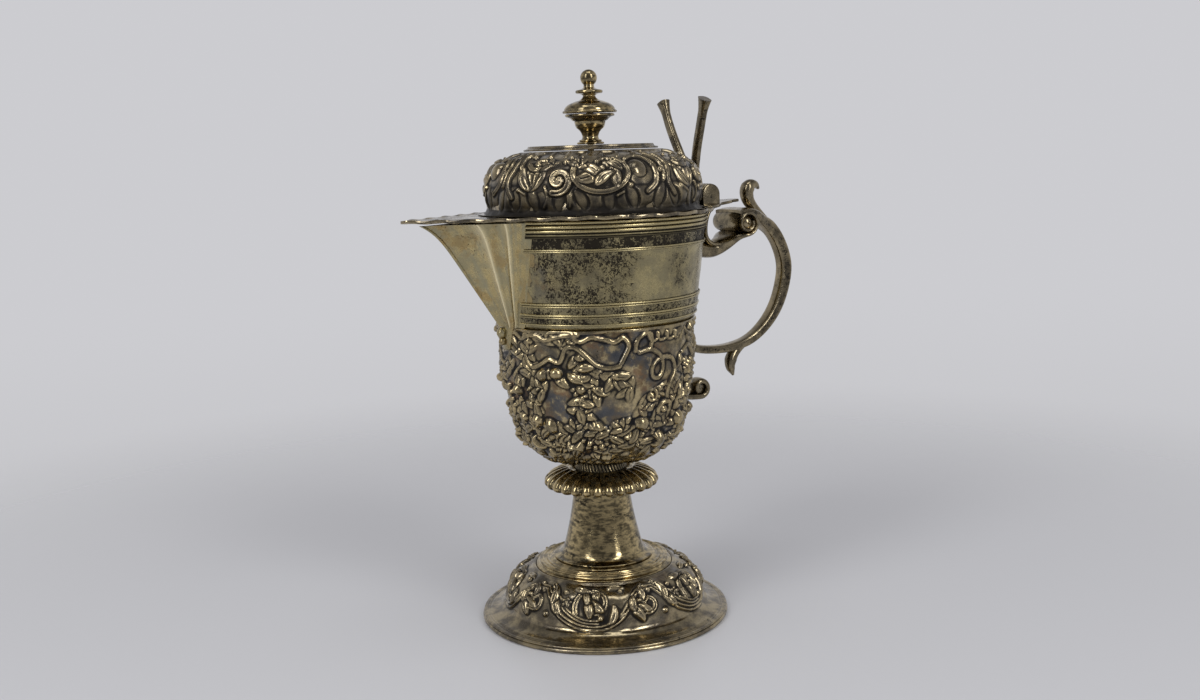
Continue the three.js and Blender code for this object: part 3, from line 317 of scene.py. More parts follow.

# colours (the darkest also paints shade in hollows), share and scale of specks and of worn patches, tarnish
# and painted shade in hollows, bump, and gloss added to the base
finishes = {
    "bright_gilt": dict(
        gilt=(0.50, 0.395, 0.21), worn=(0.115, 0.094, 0.055), soot=(0.022, 0.019, 0.012),
        speck=0.52, size=330, wear=1.0, patch=250, recess=0.9, bump=0.06, polish=0.13, stretch=2.4,
    ),
    "wall_gilt": dict(
        gilt=(0.42, 0.355, 0.19), worn=(0.28, 0.245, 0.15), soot=(0.015, 0.012, 0.009),
        speck=0.42, size=760, wear=0.9, patch=170, recess=0.9, bump=0.06, polish=-0.03,
    ),
    "spout_gilt": dict(
        gilt=(0.50, 0.40, 0.195), worn=(0.36, 0.315, 0.19), soot=(0.05, 0.04, 0.022),
        speck=0.46, size=900, wear=0.9, patch=150, recess=0.7, bump=0.06, polish=-0.05,
        # ridge is the colour of the painted highlight along the spout's ridges
        streak=(0.30, 0.285, 0.20, 1), rust=(0.36, 0.24, 0.09, 1), ridge=(0.95, 0.84, 0.55, 1),
    ),
    "bowl_gilt": dict(
        gilt=(0.42, 0.34, 0.195), worn=(0.16, 0.135, 0.09), soot=(0.010, 0.010, 0.012),
        speck=0.42, size=700, wear=0.9, patch=240, recess=0.97, bump=0.12, polish=0.07,
    ),
    "lid_silver": dict(
        gilt=(0.42, 0.345, 0.215), worn=(0.115, 0.10, 0.078), soot=(0.010, 0.009, 0.0085),
        speck=0.42, size=480, wear=1.0, patch=150, recess=0.98, bump=0.1, polish=0.08,
    ),
    "foot_silver": dict(
        gilt=(0.40, 0.33, 0.205), worn=(0.15, 0.128, 0.094), soot=(0.010, 0.009, 0.0085),
        speck=0.34, size=480, wear=1.0, patch=150, recess=0.98, bump=0.1, polish=0.07,
    ),
    "handle_gilt": dict(
        gilt=(0.31, 0.255, 0.16), worn=(0.13, 0.11, 0.075), soot=(0.015, 0.013, 0.010),
        speck=0.5, size=520, wear=0.9, patch=220, recess=0.9, bump=0.12, polish=0.08,
    ),
    "inner_brass": dict(
        gilt=(0.50, 0.38, 0.17), worn=(0.35, 0.27, 0.13), soot=(0.03, 0.024, 0.015),
        speck=0.2, size=500, wear=0.6, patch=200, recess=0.6, bump=0.05, polish=0.0,
    ),
}


def streakColour(tree, look, colour):
    # grey runs down the flutes, rust between the ridges, and a painted highlight along the ridges
    runs = node(tree, "ShaderNodeMapping", Scale=(46, 2.2, 1))
    link(tree, coordinates(tree, "UV"), runs.inputs["Vector"])
    run = noise(tree, runs.outputs[0], 1.0, 5, 0.6)
    colour = blendColour(tree, span(tree, run, 0.42, 0.66, 0.0, 0.6), colour, look["streak"])
    keep = sums(tree, "SUBTRACT", 1.0, attribute(tree, "crest"))
    rust = noise(tree, coordinates(tree, "Object"), 110, 4, 0.6)
    rusty = sums(tree, "MULTIPLY", span(tree, rust, 0.5, 0.64, 0.0, 0.55), keep)
    colour = blendColour(tree, rusty, colour, look["rust"])
    return blendColour(tree, sums(tree, "SUBTRACT", 1.0, keep), colour, look["ridge"])


def makeFinish(name, look):
    finish = bpy.data.materials.new(name)
    finish.use_nodes = True
    tree = finish.node_tree
    shader = tree.nodes["Principled BSDF"]
    coat = node(tree, "ShaderNodeGroup", node_tree=patina)
    for key in patinaLook["colours"]:
        coat.inputs[key.capitalize()].default_value = (*look[key], 1)
    for key in patinaLook["amounts"]:
        coat.inputs[key.capitalize()].default_value = look[key]
    spot = node(tree, "ShaderNodeMapping", Scale=(1, 1, look.get("stretch", 1)))
    link(tree, coordinates(tree, "Object"), spot.inputs["Vector"])
    link(tree, spot.outputs[0], coat.inputs["Where"])
    colour = coat.outputs["Colour"]
    if "streak" in look:
        colour = streakColour(tree, look, colour)
    link(tree, colour, shader.inputs["Base Color"])
    link(tree, coat.outputs["Roughness"], shader.inputs["Roughness"])
    link(tree, coat.outputs["Metal"], shader.inputs["Metallic"])
    shader.inputs["Specular IOR Level"].default_value = 0.2
    relief = node(tree, "ShaderNodeBump", Strength=look["bump"], Distance=0.0006)
    link(tree, coat.outputs["Height"], relief.inputs["Height"])
    link(tree, relief.outputs[0], shader.inputs["Normal"])
    return finish


metals = {name: makeFinish(name, look) for name, look in finishes.items()}
print("finishes made")


# modelling helpers

mergeGap = 1e-6  # points this close are one, m


def selectOnly(*pieces):
    bpy.ops.object.select_all(action="DESELECT")
    for piece in pieces:
        piece.select_set(True)
    bpy.context.view_layer.objects.active = pieces[0]


def operate(piece, *steps):
    selectOnly(piece)
    bpy.ops.object.mode_set(mode="EDIT")
    bpy.ops.mesh.select_all(action="SELECT")
    for step in steps:
        step()
    bpy.ops.object.mode_set(mode="OBJECT")


def mergeSeams():
    bpy.ops.mesh.remove_doubles(threshold=mergeGap)
    bpy.ops.mesh.normals_make_consistent(inside=False)


def putPoints(piece, points):
    flat = np.asarray(points, np.float32).reshape(-1)
    piece.data.vertices.foreach_set("co", flat)
    piece.data.update()


def getPoints(piece):
    flat = np.zeros(len(piece.data.vertices) * 3, np.float32)
    piece.data.vertices.foreach_get("co", flat)
    return flat.reshape(-1, 3).astype(float)


def aroundAxis(piece):
    # points in mm from the vessel axis
    return getPoints(piece) / mm - np.array([axisX, 0, 0])


def markPiece(piece, name, values):
    # a value for each point, or one for all, read by the finish
    flat = np.zeros(len(piece.data.vertices), np.float32)
    flat[:] = np.ravel(values)
    piece.data.attributes.new(name, "FLOAT", "POINT").data.foreach_set("value", flat)


def fit(piece, body, slotName, *nodes, angle=None):
    selectOnly(piece)
    if angle is None:
        bpy.ops.object.shade_smooth()
    else:
        bpy.ops.object.shade_smooth_by_angle(angle=math.radians(angle))
    piece.data.materials.clear()
    piece.data.materials.append(metals[slotName])
    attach(piece, body)
    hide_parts(*nodes)


def spinPiece(name, outline, steps=192):
    # a ring of points is laid on the outline and spun round the vessel axis
    bpy.ops.object.select_all(action="DESELECT")
    bpy.ops.mesh.primitive_circle_add(vertices=len(outline), radius=0.01)
    piece = bpy.context.object
    piece.name = name
    putPoints(piece, [((axisX + r) * mm, 0, z * mm) for r, z in outline])

    def spinRound():
        bpy.ops.mesh.spin(steps=steps, angle=2 * math.pi, center=(axisX * mm, 0, 0), axis=(0, 0, 1))

    operate(piece, spinRound, mergeSeams)
    return piece


def gridPiece(name, loops, closeRound=True, closeAlong=False, crest=None):
    # a grid is wrapped over rows of points, its seams merged and its ends filled
    rows = np.asarray(loops, float)
    if closeRound:
        rows = np.concatenate([rows, rows[:, :1]], 1)
    if closeAlong:
        rows = np.concatenate([rows, rows[:1]], 0)
    high, wide = rows.shape[0] - 1, rows.shape[1] - 1
    bpy.ops.object.select_all(action="DESELECT")
    bpy.ops.mesh.primitive_grid_add(x_subdivisions=wide, y_subdivisions=high, size=0.02)
    piece = bpy.context.object
    piece.name = name
    putPoints(piece, (rows + np.array([axisX, 0, 0])) * mm)
    if crest is not None:
        markPiece(piece, "crest", crest)

    def fillEnds():
        bpy.ops.mesh.remove_doubles(threshold=mergeGap)
        bpy.ops.mesh.select_all(action="DESELECT")
        bpy.ops.mesh.select_non_manifold()
        bpy.ops.mesh.edge_face_add()
        bpy.ops.mesh.select_all(action="SELECT")

    operate(piece, fillEnds, mergeSeams)
    return piece


def wrapPiece(name, outline, steps):
    # as spinPiece, for walls too dense to spin: a grid is wrapped round the axis
    a = np.linspace(0, 2 * math.pi, steps, endpoint=False)
    rows = [np.stack([r * np.cos(a), r * np.sin(a), z + 0 * a], 1) for r, z in outline]
    return gridPiece(name, rows, closeAlong=True)


def joinPieces(name, pieces):
    selectOnly(*pieces)
    bpy.ops.object.join()
    pieces[0].name = name
    return pieces[0]


def useModifier(piece, kind, **values):
    selectOnly(piece)
    made = piece.modifiers.new(kind.lower(), kind)
    for key, value in values.items():
        setattr(made, key, value)
    bpy.ops.object.modifier_apply(modifier=made.name)


def bezier(p0, c0, c1, p1, count):
    t = np.linspace(0, 1, count)[:, None]
    p0, c0, c1, p1 = (np.array(p, float) for p in (p0, c0, c1, p1))
    return ((1 - t) ** 3 * p0 + 3 * t * (1 - t) ** 2 * c0 + 3 * t * t * (1 - t) * c1 + t ** 3 * p1).tolist()


def curve(p0, c, p1, count):
    p0, c, p1 = (np.array(p, float) for p in (p0, c, p1))
    return bezier(p0, p0 + (c - p0) * 2 / 3, p1 + (c - p1) * 2 / 3, p1, count)


def arc(r, z, radius, start, end, count):
    a = np.radians(np.linspace(start, end, count))
    return np.stack([r + radius * np.cos(a), z + radius * np.sin(a)], 1).tolist()


def lengths(line):
    return np.linalg.norm(np.diff(np.asarray(line, float), axis=0), axis=1)


def runOf(line):
    # distance along the line at each of its points
    return np.concatenate([[0], np.cumsum(lengths(line))])


def heading(line):
    along = np.gradient(np.asarray(line, float), axis=0)
    return along / np.linalg.norm(along, axis=1)[:, None]


def evenly(points, count):
    points, run = np.asarray(points, float), runOf(points)
    at = np.linspace(0, run[-1], count)
    return np.stack([np.interp(at, run, points[:, k]) for k in range(points.shape[1])], 1)


def through(points, count):
    # smooth line through points, with knots by the square root of their distance
    p = np.asarray(points, float)
    p = np.concatenate([[2 * p[0] - p[1]], p, [2 * p[-1] - p[-2]]])
    line = []
    for a, b, c, d in zip(p[:-3], p[1:-2], p[2:-1], p[3:]):
        k0, k1, k2 = (max(np.linalg.norm(y - x), 1e-6) ** 0.5 for x, y in ((a, b), (b, c), (c, d)))
        m1 = ((b - a) / k0 - (c - a) / (k0 + k1) + (c - b) / k1) * k1
        m2 = ((c - b) / k1 - (d - b) / (k1 + k2) + (d - c) / k2) * k1
        t = np.linspace(0, 1, 40, endpoint=False)[:, None]
        h = 2 * t ** 3 - 3 * t ** 2 + 1, t ** 3 - 2 * t ** 2 + t, 3 * t ** 2 - 2 * t ** 3, t ** 3 - t ** 2
        line += (h[0] * b + h[1] * m1 + h[2] * c + h[3] * m2).tolist()
    return evenly(line + [p[-2].tolist()], count)


def lerp(a, b, t):
    return a + (b - a) * t


def swell(t, low, high):
    k = np.clip((t - low) / (high - low), 0, 1)
    return k * k * (3 - 2 * k)


def offset(line, distance):
    # the line moved to its left by a distance
    along = heading(line)
    return (np.asarray(line, float) + distance * np.stack([-along[:, 1], along[:, 0]], 1)).tolist()


# chased relief: heights are hammered into a sheet of cells, then taken over by the spun wall

sheetGrain = 6.0  # cells to a millimetre
fullTurn = 6.3  # upper end of drawn angles


def newSheet(length, height, narrow=None):
    # narrow gives the true width of a sheet millimetre at a height, below 1 where the wall draws in
    cols, rows = int(length * sheetGrain), int(height * sheetGrain) + 1
    return {
        "h": np.zeros((rows, cols)),
        "cut": np.zeros((rows, cols)),
        "rows": rows,
        "cols": cols,
        "length": length,
        "height": height,
        "narrow": narrow or (lambda v: 1.0),
    }


def dab(sheet, u, v, wide, high, rise, turn=0.0, dome=0.5, cut=False, clear=False):
    narrow = sheet["narrow"](v)
    reach = int(max(wide, high) * sheetGrain) + 1
    reachU = int(reach / narrow) + 1
    midU, midV = int(round(u * sheetGrain)), int(round(v * sheetGrain))
    cols = np.arange(midU - reachU, midU + reachU + 1)
    rows = np.arange(max(midV - reach, 0), min(midV + reach + 1, sheet["rows"]))
    if rows.size == 0:
        return
    du, dv = ((cols / sheetGrain - u) * narrow)[None, :], (rows / sheetGrain - v)[:, None]
    c, s = math.cos(turn), math.sin(turn)
    far = ((du * c + dv * s) / wide) ** 2 + ((dv * c - du * s) / high) ** 2
    spot = np.ix_(rows, cols % sheet["cols"])
    if clear:  # presses down what lies under and round it
        sheet["h"][spot] *= np.where(far < 1, 0.4 + 0.6 * np.clip((far - 0.75) / 0.25, 0, 1), 1)
        sheet["cut"][spot] *= far > 1
        return
    bump = rise * np.clip(1 - far, 0, 1) ** dome
    layer = sheet["cut"] if cut else sheet["h"]
    layer[spot] = np.maximum(layer[spot], bump)


def stroke(sheet, path, width, rise, dome=0.5, ends=(1.0, 1.0), cut=False):
    count = max(int(lengths(path).sum() / (0.25 * width)), 3)
    for k, (u, v) in enumerate(evenly(path, count)):
        size = width * lerp(ends[0], ends[1], k / (count - 1))
        dab(sheet, u, v, size, size, rise * (0.55 + 0.45 * size / width), 0.0, dome, cut)


def ribbon(sheet, path, width, rise, ends=(1.0, 1.0)):
    # flat band with a groove along its middle
    for u, v in evenly(path, 60):
        dab(sheet, u, v, width + 0.7, width + 0.7, 0, clear=True)
    stroke(sheet, path, width, rise, 0.25, ends)
    stroke(sheet, path, width * 0.4, 0.8, 0.6, ends, True)


def stems(sheet, path, apart, width, rise, ends=(1.0, 1.0)):
    # two thin lines side by side
    for side in (-0.5, 0.5):
        stroke(sheet, offset(path, side * apart), width, rise, 0.6, ends)


def spiralPath(u, v, size, turns, start, hand, inner=0.12):
    t = np.linspace(0, 1, int(26 * turns))
    a = start + hand * 2 * math.pi * turns * t
    r = size * (1 - (1 - inner) * t ** 0.85)
    return np.stack([u + r * np.cos(a), v + r * np.sin(a)], 1)


def volute(sheet, u, v, size, turns, start, hand, width, rise):
    ribbon(sheet, spiralPath(u, v, size, turns, start, hand), width, rise, (1.0, 0.7))
    dab(sheet, u, v, size * 0.24, size * 0.24, rise * 1.2)


def blade(sheet, u, v, turn, length, width, rise, bow=0.0, vein=0.6):
    # bent leaf, broad below its middle with a blunt end
    path, sizes, steps = [], [], 21
    for t in np.linspace(0, 1, steps + 1):
        path.append((u, v))
        sizes.append(max(width * 0.5 * math.sin(math.pi * (0.12 + 0.74 * t) ** 0.8), 0.3))
        u += length / steps * math.cos(turn + bow * t) / sheet["narrow"](v)
        v += length / steps * math.sin(turn + bow * t)
    for (u, v), size in zip(path[3:], sizes[3:]):
        dab(sheet, u, v, size + 0.6, size + 0.6, 0, clear=True)
    for (u, v), size in zip(path, sizes):
        dab(sheet, u, v, size, size, rise * (0.45 + 1.1 * size / width), 0.0, 0.45)
    if vein:
        stroke(sheet, path[1:-2], 0.5, 1.5 * vein, 0.6, (1, 0.6), True)


def spray(sheet, u, v, turn, size, rise, spread=2.6):
    # fan of four leaves from one point with a bud at their root
    for k in range(4):
        side = k / 3 - 0.5
        long, high = size * (1.0 - 0.5 * abs(side)), rise * (1.0 - 0.3 * abs(side))
        blade(sheet, u, v, turn + side * spread, long, size * 0.54, high, side)
    dab(sheet, u, v, size * 0.2, size * 0.2, rise * 1.1)


def berries(sheet, u, v, size, rise, count, draw):
    for k in range(count):
        a, r = 2.4 * k, size * 0.62 * math.sqrt(k)
        atU, atV = u + r * math.cos(a) / sheet["narrow"](v), v + r * math.sin(a)
        dab(sheet, atU, atV, size * 0.62, size * 0.62, rise * draw.uniform(0.8, 1.05))


def flower(sheet, u, v, size, rise, turn):
    petals = 5
    for k in range(petals):
        a = turn + 2 * math.pi * k / petals
        blade(sheet, u, v, a, size, size * 0.72, rise * 0.8, 0.0, 0.4)
    dab(sheet, u, v, size * 0.3, size * 0.3, rise * 1.1)


def fruit(sheet, u, v, size, rise, turn):
    dab(sheet, u, v, size + 0.7, size * 0.86 + 0.7, 0, turn, clear=True)
    dab(sheet, u, v, size, size * 0.86, rise, turn, 0.55)
    tipU, tipV = u + 0.75 * size * math.cos(turn) / sheet["narrow"](v), v + 0.75 * size * math.sin(turn)
    dab(sheet, tipU, tipV, size * 0.2, size * 0.2, 0.9, cut=True)
    stroke(sheet, [(u, v), (tipU, tipV)], 0.3, 0.35, cut=True)


def vine(sheet, path, size, rise, draw, fruits):
    # leaves to both sides of a hanging stem, with fruit and berries between them
    line = evenly(path, max(int(lengths(path).sum() / (0.72 * size)), 3))
    for (u, v), (nextU, nextV) in zip(line, line[1:]):
        along = math.atan2(nextV - v, nextU - u)
        for hand in (-1, 1):
            reach = size * draw.uniform(0.65, 1.15)
            leafU, leafV = u + draw.uniform(-0.5, 0.5), v + draw.uniform(-0.5, 0.5)
            turn = along + hand * draw.uniform(0.3, 1.6)
            wide, high = reach * draw.uniform(0.66, 0.86), rise * draw.uniform(0.5, 1.05)
            blade(sheet, leafU, leafV, turn, reach, wide, high, hand * draw.uniform(-0.4, 1.1))
        if draw.uniform() < fruits:
            fruit(sheet, u, v, size * draw.uniform(0.3, 0.44), rise * 1.1, draw.uniform(0, fullTurn))
        elif draw.uniform() < 0.4:
            berries(sheet, u, v, size * 0.24, rise * 0.95, 5, draw)


def soften(layer, reach):
    # even blur over a reach in mm that runs round the sheet
    rows, cols = layer.shape
    padded = np.concatenate([layer, layer[::-1]], 0)
    fu, fv = np.fft.fftfreq(cols)[None, :], np.fft.fftfreq(2 * rows)[:, None]
    keep = np.exp(-2 * (math.pi * (reach * sheetGrain)) ** 2 * (fu * fu + fv * fv))
    return np.real(np.fft.ifft2(np.fft.fft2(padded) * keep))[:rows]


def wander(draw, shape, reach, share):
    # soft unevenness with a given spread
    layer = soften(draw.normal(0, 1, shape), reach)
    return share * layer / layer.std()


def closeSheet(sheet, draw, sink, deep, filmed, hammer):
    # final heights, and the masks for tarnish with painted shade in the hollows, for crests lightened with
    # rubbed gilding and a painted highlight, and for filmed ground
    base, floor, margin = sheet["h"], -0.95, 1.6
    grown = soften(base - np.minimum(sheet["cut"], 0.35 * base + 0.2), 0.2)
    for share, reach in ((0.3 * hammer, 1.6), (hammer, 3.6)):  # uneven hammering
        grown = grown + wander(draw, base.shape, reach, share)
    around, broad = soften(grown, 0.8), soften(grown, 3.0)
    hollow = np.clip((around - grown) / 0.3, 0, 1) + deep * np.clip(broad - grown, 0, 1)
    crest = np.clip((grown - around) / 0.45, 0, 1) * np.clip(base / 0.6, 0, 1)
    crest = crest * np.clip(0.8 + wander(draw, base.shape, 2.6, 0.5), 0.2, 1.25)
    clouds = np.clip(0.6 + wander(draw, base.shape, 6.0, 0.9), 0, 1)
    row = np.arange(sheet["rows"])
    fade = np.clip(np.minimum(row, row[::-1]) / sheetGrain / margin, 0, 1)[:, None]
    sheet["h"] = np.maximum(grown - sink, floor) * fade * fade * (3 - 2 * fade)
    sheet["hollow"] = np.clip(hollow, 0, 1) * fade
    sheet["crest"] = crest * fade
    sheet["film"] = filmed * np.clip(1.2 - base / 0.7, 0, 1) * clouds * fade


def sample(layer, sheet, turnShare, v):
    # heights between cells
    x, y = turnShare * sheet["cols"], np.clip(v * sheetGrain, 0, sheet["rows"] - 1.001)
    x0, y0 = np.floor(x).astype(int), np.floor(y).astype(int)
    fx, fy = x - x0, y - y0
    a, b = x0 % sheet["cols"], (x0 + 1) % sheet["cols"]
    return ((layer[y0, a] * (1 - fx) + layer[y0, b] * fx) * (1 - fy)
            + (layer[y0 + 1, a] * (1 - fx) + layer[y0 + 1, b] * fx) * fy)


def emboss(piece, line, heights):
    # moves the points that lie on the drawn line; heights gives rise and marks by turn and run
    along, run = heading(line), runOf(line)
    out = np.stack([along[:, 1], -along[:, 0]], 1)
    points = aroundAxis(piece)
    radius = np.hypot(points[:, 0], points[:, 1])
    turn = np.arctan2(points[:, 1], points[:, 0]) % (2 * math.pi)
    near = np.zeros(len(points), int)
    gap = np.full(len(points), 1e9)
    for k, (r, z) in enumerate(line):
        far = np.abs(radius - r) + np.abs(points[:, 2] - z)
        closer = far < gap
        near[closer], gap[closer] = k, far[closer]
    on = gap < 0.004
    rise, marks = heights(turn[on], run[near[on]])
    radius[on] += rise * out[near[on], 0]
    points[on, 2] += rise * out[near[on], 1]
    points[:, 0] = axisX + radius * np.cos(turn)
    points[:, 1] = radius * np.sin(turn)
    putPoints(piece, points * mm)
    for name, values in marks.items():
        whole = np.zeros(len(points))
        whole[on] = values
        markPiece(piece, name, whole)


def chase(piece, line, sheet, start):
    def heights(turn, run):
        v, share = run - start, turn / (2 * math.pi)
        inside = (v > 0) & (v < sheet["height"])
        layers = ("h", "hollow", "crest", "film")
        marks = {name: sample(sheet[name], sheet, share, v) * inside for name in layers}
        return marks.pop("h"), marks

    emboss(piece, line, heights)


# foot

foot = {
    "seed": 4,
    "sheetR": 45,
    "panels": 5,
    "rise": 1.8,
    "sink": 0.7,
    # double stems: places as share of a panel and height, then apart, width, share of the rise, ends
    "stems": (
        (((-0.5, 20.5), (-0.4, 14), (-0.3, 7.5), (-0.14, 3.4), (0.04, 3.2), (0.18, 7.5), (0.27, 14.5),
          (0.37, 20), (0.5, 20.5)), 1.7, 0.45, 0.75, (1, 1)),
        (((-0.47, 23.5), (-0.36, 17), (-0.26, 10.5), (-0.12, 6.2), (0.0, 5.6)), 1.4, 0.5, 0.8, (0.8, 0.6)),
        (((0.1, 5.2), (0.23, 11), (0.31, 17.5), (0.42, 22.5)), 1.2, 0.5, 0.8, (0.6, 0.8)),
    ),
    # leaves: place as share of a panel and height, turn, length, width, share of the rise, bow
    "tulips": (
        (-0.09, 14.6, 0.55, 7.5, 5.4, 1.15, 0.5),
        (-0.09, 14.6, -0.35, 8.0, 5.6, 1.15, -0.3),
        (-0.09, 14.6, -1.15, 7.0, 4.8, 1.15, -0.5),
        (-0.09, 14.6, 1.6, 5.5, 4.0, 1.15, 0.6),
        (0.29, 10.5, 0.9, 9.0, 5.0, 1.15, -0.8),
        (0.29, 10.5, 0.1, 8.5, 5.4, 1.15, -0.5),
        (0.29, 10.5, -0.6, 7.0, 4.6, 1.15, -0.7),
        (0.29, 10.5, 1.8, 6.0, 4.0, 1.15, -0.6),
    ),
    "leaves": (
        (-0.33, 9.0, 2.3, 8.5, 4.6, 1, -0.9),
        (-0.4, 13.5, 1.3, 9.0, 4.4, 1, 0.9),
        (0.1, 5.6, 0.9, 8.0, 4.2, 1, 1.0),
        (0.37, 20.5, -1.0, 6.0, 3.6, 0.9, -0.9),
        (-0.2, 22.0, -0.3, 7.0, 3.6, 0.8, 0.5),
        (0.1, 23.0, 0.2, 7.5, 3.4, 0.7, -0.6),
    ),
    "beads": ((0.02, 7.6, 1.5), (0.46, 19.0, 1.4), (-0.44, 7.5, 1.4), (0.2, 20.5, 1.2), (-0.3, 19.5, 1.2)),
}


def chaseFoot(sheet, draw):
    # a running stem with coils, tulips and leaves, five times round
    big, width = foot["rise"], sheet["length"] / foot["panels"]

    def growLeaves(u, rows):
        for a, v, turn, long, wide, share, bow in rows:
            blade(sheet, u + a * width, v, turn, long, wide, big * share, bow)

    for k in range(foot["panels"]):
        u = (k + 0.3) * width
        for places, apart, thick, share, ends in foot["stems"]:
            path = through([(u + a * width, b) for a, b in places], 80)
            stems(sheet, path, apart, thick, big * share, ends)
        coil = spiralPath(u - 0.04 * width, 14.2, 9.4, 1.15, 3.7, -1, 0.3)
        stems(sheet, coil, 1.4, 0.48, big * 0.75, (1, 0.8))
        growLeaves(u, foot["tulips"])
        coil = spiralPath(u + 0.42 * width, 12.6, 5.4, 1.1, 3.2, 1, 0.3)
        stems(sheet, coil, 1.2, 0.44, big * 0.7, (1, 0.8))
        growLeaves(u, foot["leaves"])
        flower(sheet, u - 0.27 * width, 14.5, 2.4, big, draw.uniform(0, 2))
        for a, b, size in foot["beads"]:
            dab(sheet, u + a * width, b, size, size, big * 0.9)


def makeFoot():
    rim = arc(59.0, 1.1, 1.1, -90, 90, 11) + [(56.5, 2.2), (56.5, 0)]
    fit(spinPiece("footRim", rim), "vessel", "foot_silver", "foot_rim", angle=40)

    flange = [(59.5, 2.3)] + arc(59.2, 2.75, 0.4, -20, 100, 5) + [(58.3, 3.35)]
    for r in (57.6, 56.5):  # engraved double line
        z = lerp(3.3, 4.4, (58.3 - r) / 8.0)
        flange += [(r + 0.3, z), (r, z - 0.3), (r - 0.3, z + 0.06)]
    flange += curve((55.4, 3.75), (50.2, 4.6), (48.9, 7.4), 22)
    dome = evenly(bezier((48.7, 8.2), (48.2, 16.4), (42.8, 23.4), (34.6, 25.2), 200), 76).tolist()
    seat = curve((34.1, 25.25), (33.4, 25.2), (33.0, 24.3), 6) + [(26, 24.3), (20, 24.3)]
    line = flange + dome + seat
    inner = [(19.9, 23.3), (33.2, 23.3)] + bezier((34.8, 23.9), (41.6, 22.2), (46.8, 16.2), (47.2, 8.2), 8)
    inner += [(48, 5.2), (56, 2.9), (58.9, 2.2)]
    piece = wrapPiece("footDome", line + inner, 740)
    runs, draw = runOf(line), np.random.default_rng(foot["seed"])
    start, end = runs[len(flange) - 8], runs[len(flange) + len(dome) - 1]
    sheet = newSheet(2 * math.pi * foot["sheetR"], end - start)
    chaseFoot(sheet, draw)
    closeSheet(sheet, draw, foot["sink"], deep=0.6, filmed=0.25, hammer=0.22)
    chase(piece, line, sheet, start)
    fit(piece, "vessel", "foot_silver", "foot_dome")

    step = [(20, 24.6), (33.0, 24.6)] + arc(32.7, 24.95, 0.35, -60, 60, 5)
    step += curve((32.5, 25.4), (31.0, 25.6), (31.0, 26.6), 8)
    step += arc(30.9, 27.1, 0.5, -50, 100, 8) + [(30.3, 27.4)]
    step += arc(29.6, 27.5, 0.42, 0, 140, 6) + [(29.0, 27.35), (27.9, 27.4)]
    step += arc(27.4, 27.5, 0.42, 10, 150, 6) + curve((26.8, 27.6), (25.8, 27.6), (25.4, 28.3), 6)
    step += [(25.0, 28.5), (20, 28.5)]
    piece = spinPiece("footStep", step)
    markPiece(piece, "crest", 0.3)
    fit(piece, "vessel", "bright_gilt", "foot_step", angle=50)
    print("foot made")


# stem, collar and neck

stem = {"topZ": 62.7, "collarZ": 63.0, "mouthZ": 72.9, "gadroons": 28, "lobeRise": 1.3, "boreR": 4.4}


def makeStem():
    top, low, mouth, bore = stem["topZ"], stem["collarZ"], stem["mouthZ"], stem["boreR"]
    outer = [(23.9, 28.8)] + arc(23.7, 29.25, 0.45, -60, 100, 5)
    outer += curve((23.2, 29.7), (20.2, 30.0), (19.2, 33.4), 14)
    outer += curve((19.1, 33.7), (14.7, 49.4), (13.5, top), 40)
    inner = [(bore, top), (bore, top - 2), (12.3, top - 2)]
    inner += curve((12.4, top - 3), (13.6, 48.4), (17.9, 33.4), 8) + [(21, 29.4), (22.2, 28.8)]
    fit(spinPiece("stemTrumpet", outer + inner), "vessel", "bright_gilt", "stem", angle=50)

    brow = bezier((25.6, low + 0.7), (29.4, low + 1.8), (28.2, mouth - 2.6), (16.4, mouth), 200)
    line = curve((15.5, low), (22, low), (25.0, low + 0.5), 10) + evenly(brow, 60).tolist()
    inner = [(15.8, mouth), (15.0, mouth - 0.7), (14.0, mouth - 2.5), (bore, mouth - 2.5), (bore, low)]
    piece = wrapPiece("gadroonCollar", line + inner, stem["gadroons"] * 24)
    runs = runOf(line)

    def lobes(turn, run):
        # petals that widen to the edge, with a fine ridge in the groove between them
        wave = (turn * stem["gadroons"] / (2 * math.pi) + 0.1 * np.sin(3 * turn)) % 1.0
        off = np.abs(wave - 0.5) * 2
        petal = np.sqrt(np.clip(1 - (off / 0.72) ** 2, 0, 1))
        ridge = 0.5 * np.exp(-(((off - 1.0) / 0.1) ** 2))
        begun = np.clip((run - runs[5]) / 1.5, 0, 1)
        zone = begun * np.clip((runs[-1] - run) / 8.0, 0, 1) ** 0.7
        # tarnish with painted shade in the grooves, and rubbed gilding with a painted highlight on the
        # crests of the petals
        groove = np.clip(1 - petal * 2.2 - ridge * 1.6, 0, 1) * begun
        marks = {"hollow": 0.6 * groove, "crest": np.clip(petal - 0.8, 0, 1) * 4 * zone}
        return stem["lobeRise"] * (petal + ridge - 0.85) * zone, marks

    emboss(piece, line, lobes)
    fit(piece, "vessel", "bright_gilt", "gadroon_collar")

    line = curve((11.7, 70.75), (13.4, 71.8), (12.4, 73.4), 18)
    line += curve((12.4, 73.7), (11.8, 75.6), (13.4, 77.7), 24)
    piece = wrapPiece("neckRing", line + [(bore, 77.7), (bore, 70.75)], 480)

    def hatch(turn, run):
        lean = np.sin(turn * 48 + run * 1.3)
        # tarnish with painted shade over the ring, deepest in the sunk lines, and rubbed gilding with a
        # painted highlight between them
        marks = {"hollow": 0.45 + 0.5 * np.clip(lean, 0, 1), "crest": np.clip(-lean, 0, 1) * 0.3}
        return -0.4 * np.clip(lean - 0.1, 0, 1), marks

    emboss(piece, line, hatch)
    fit(piece, "vessel", "bowl_gilt", "neck_ring")
    print("stem and collar made")


# bowl and wall

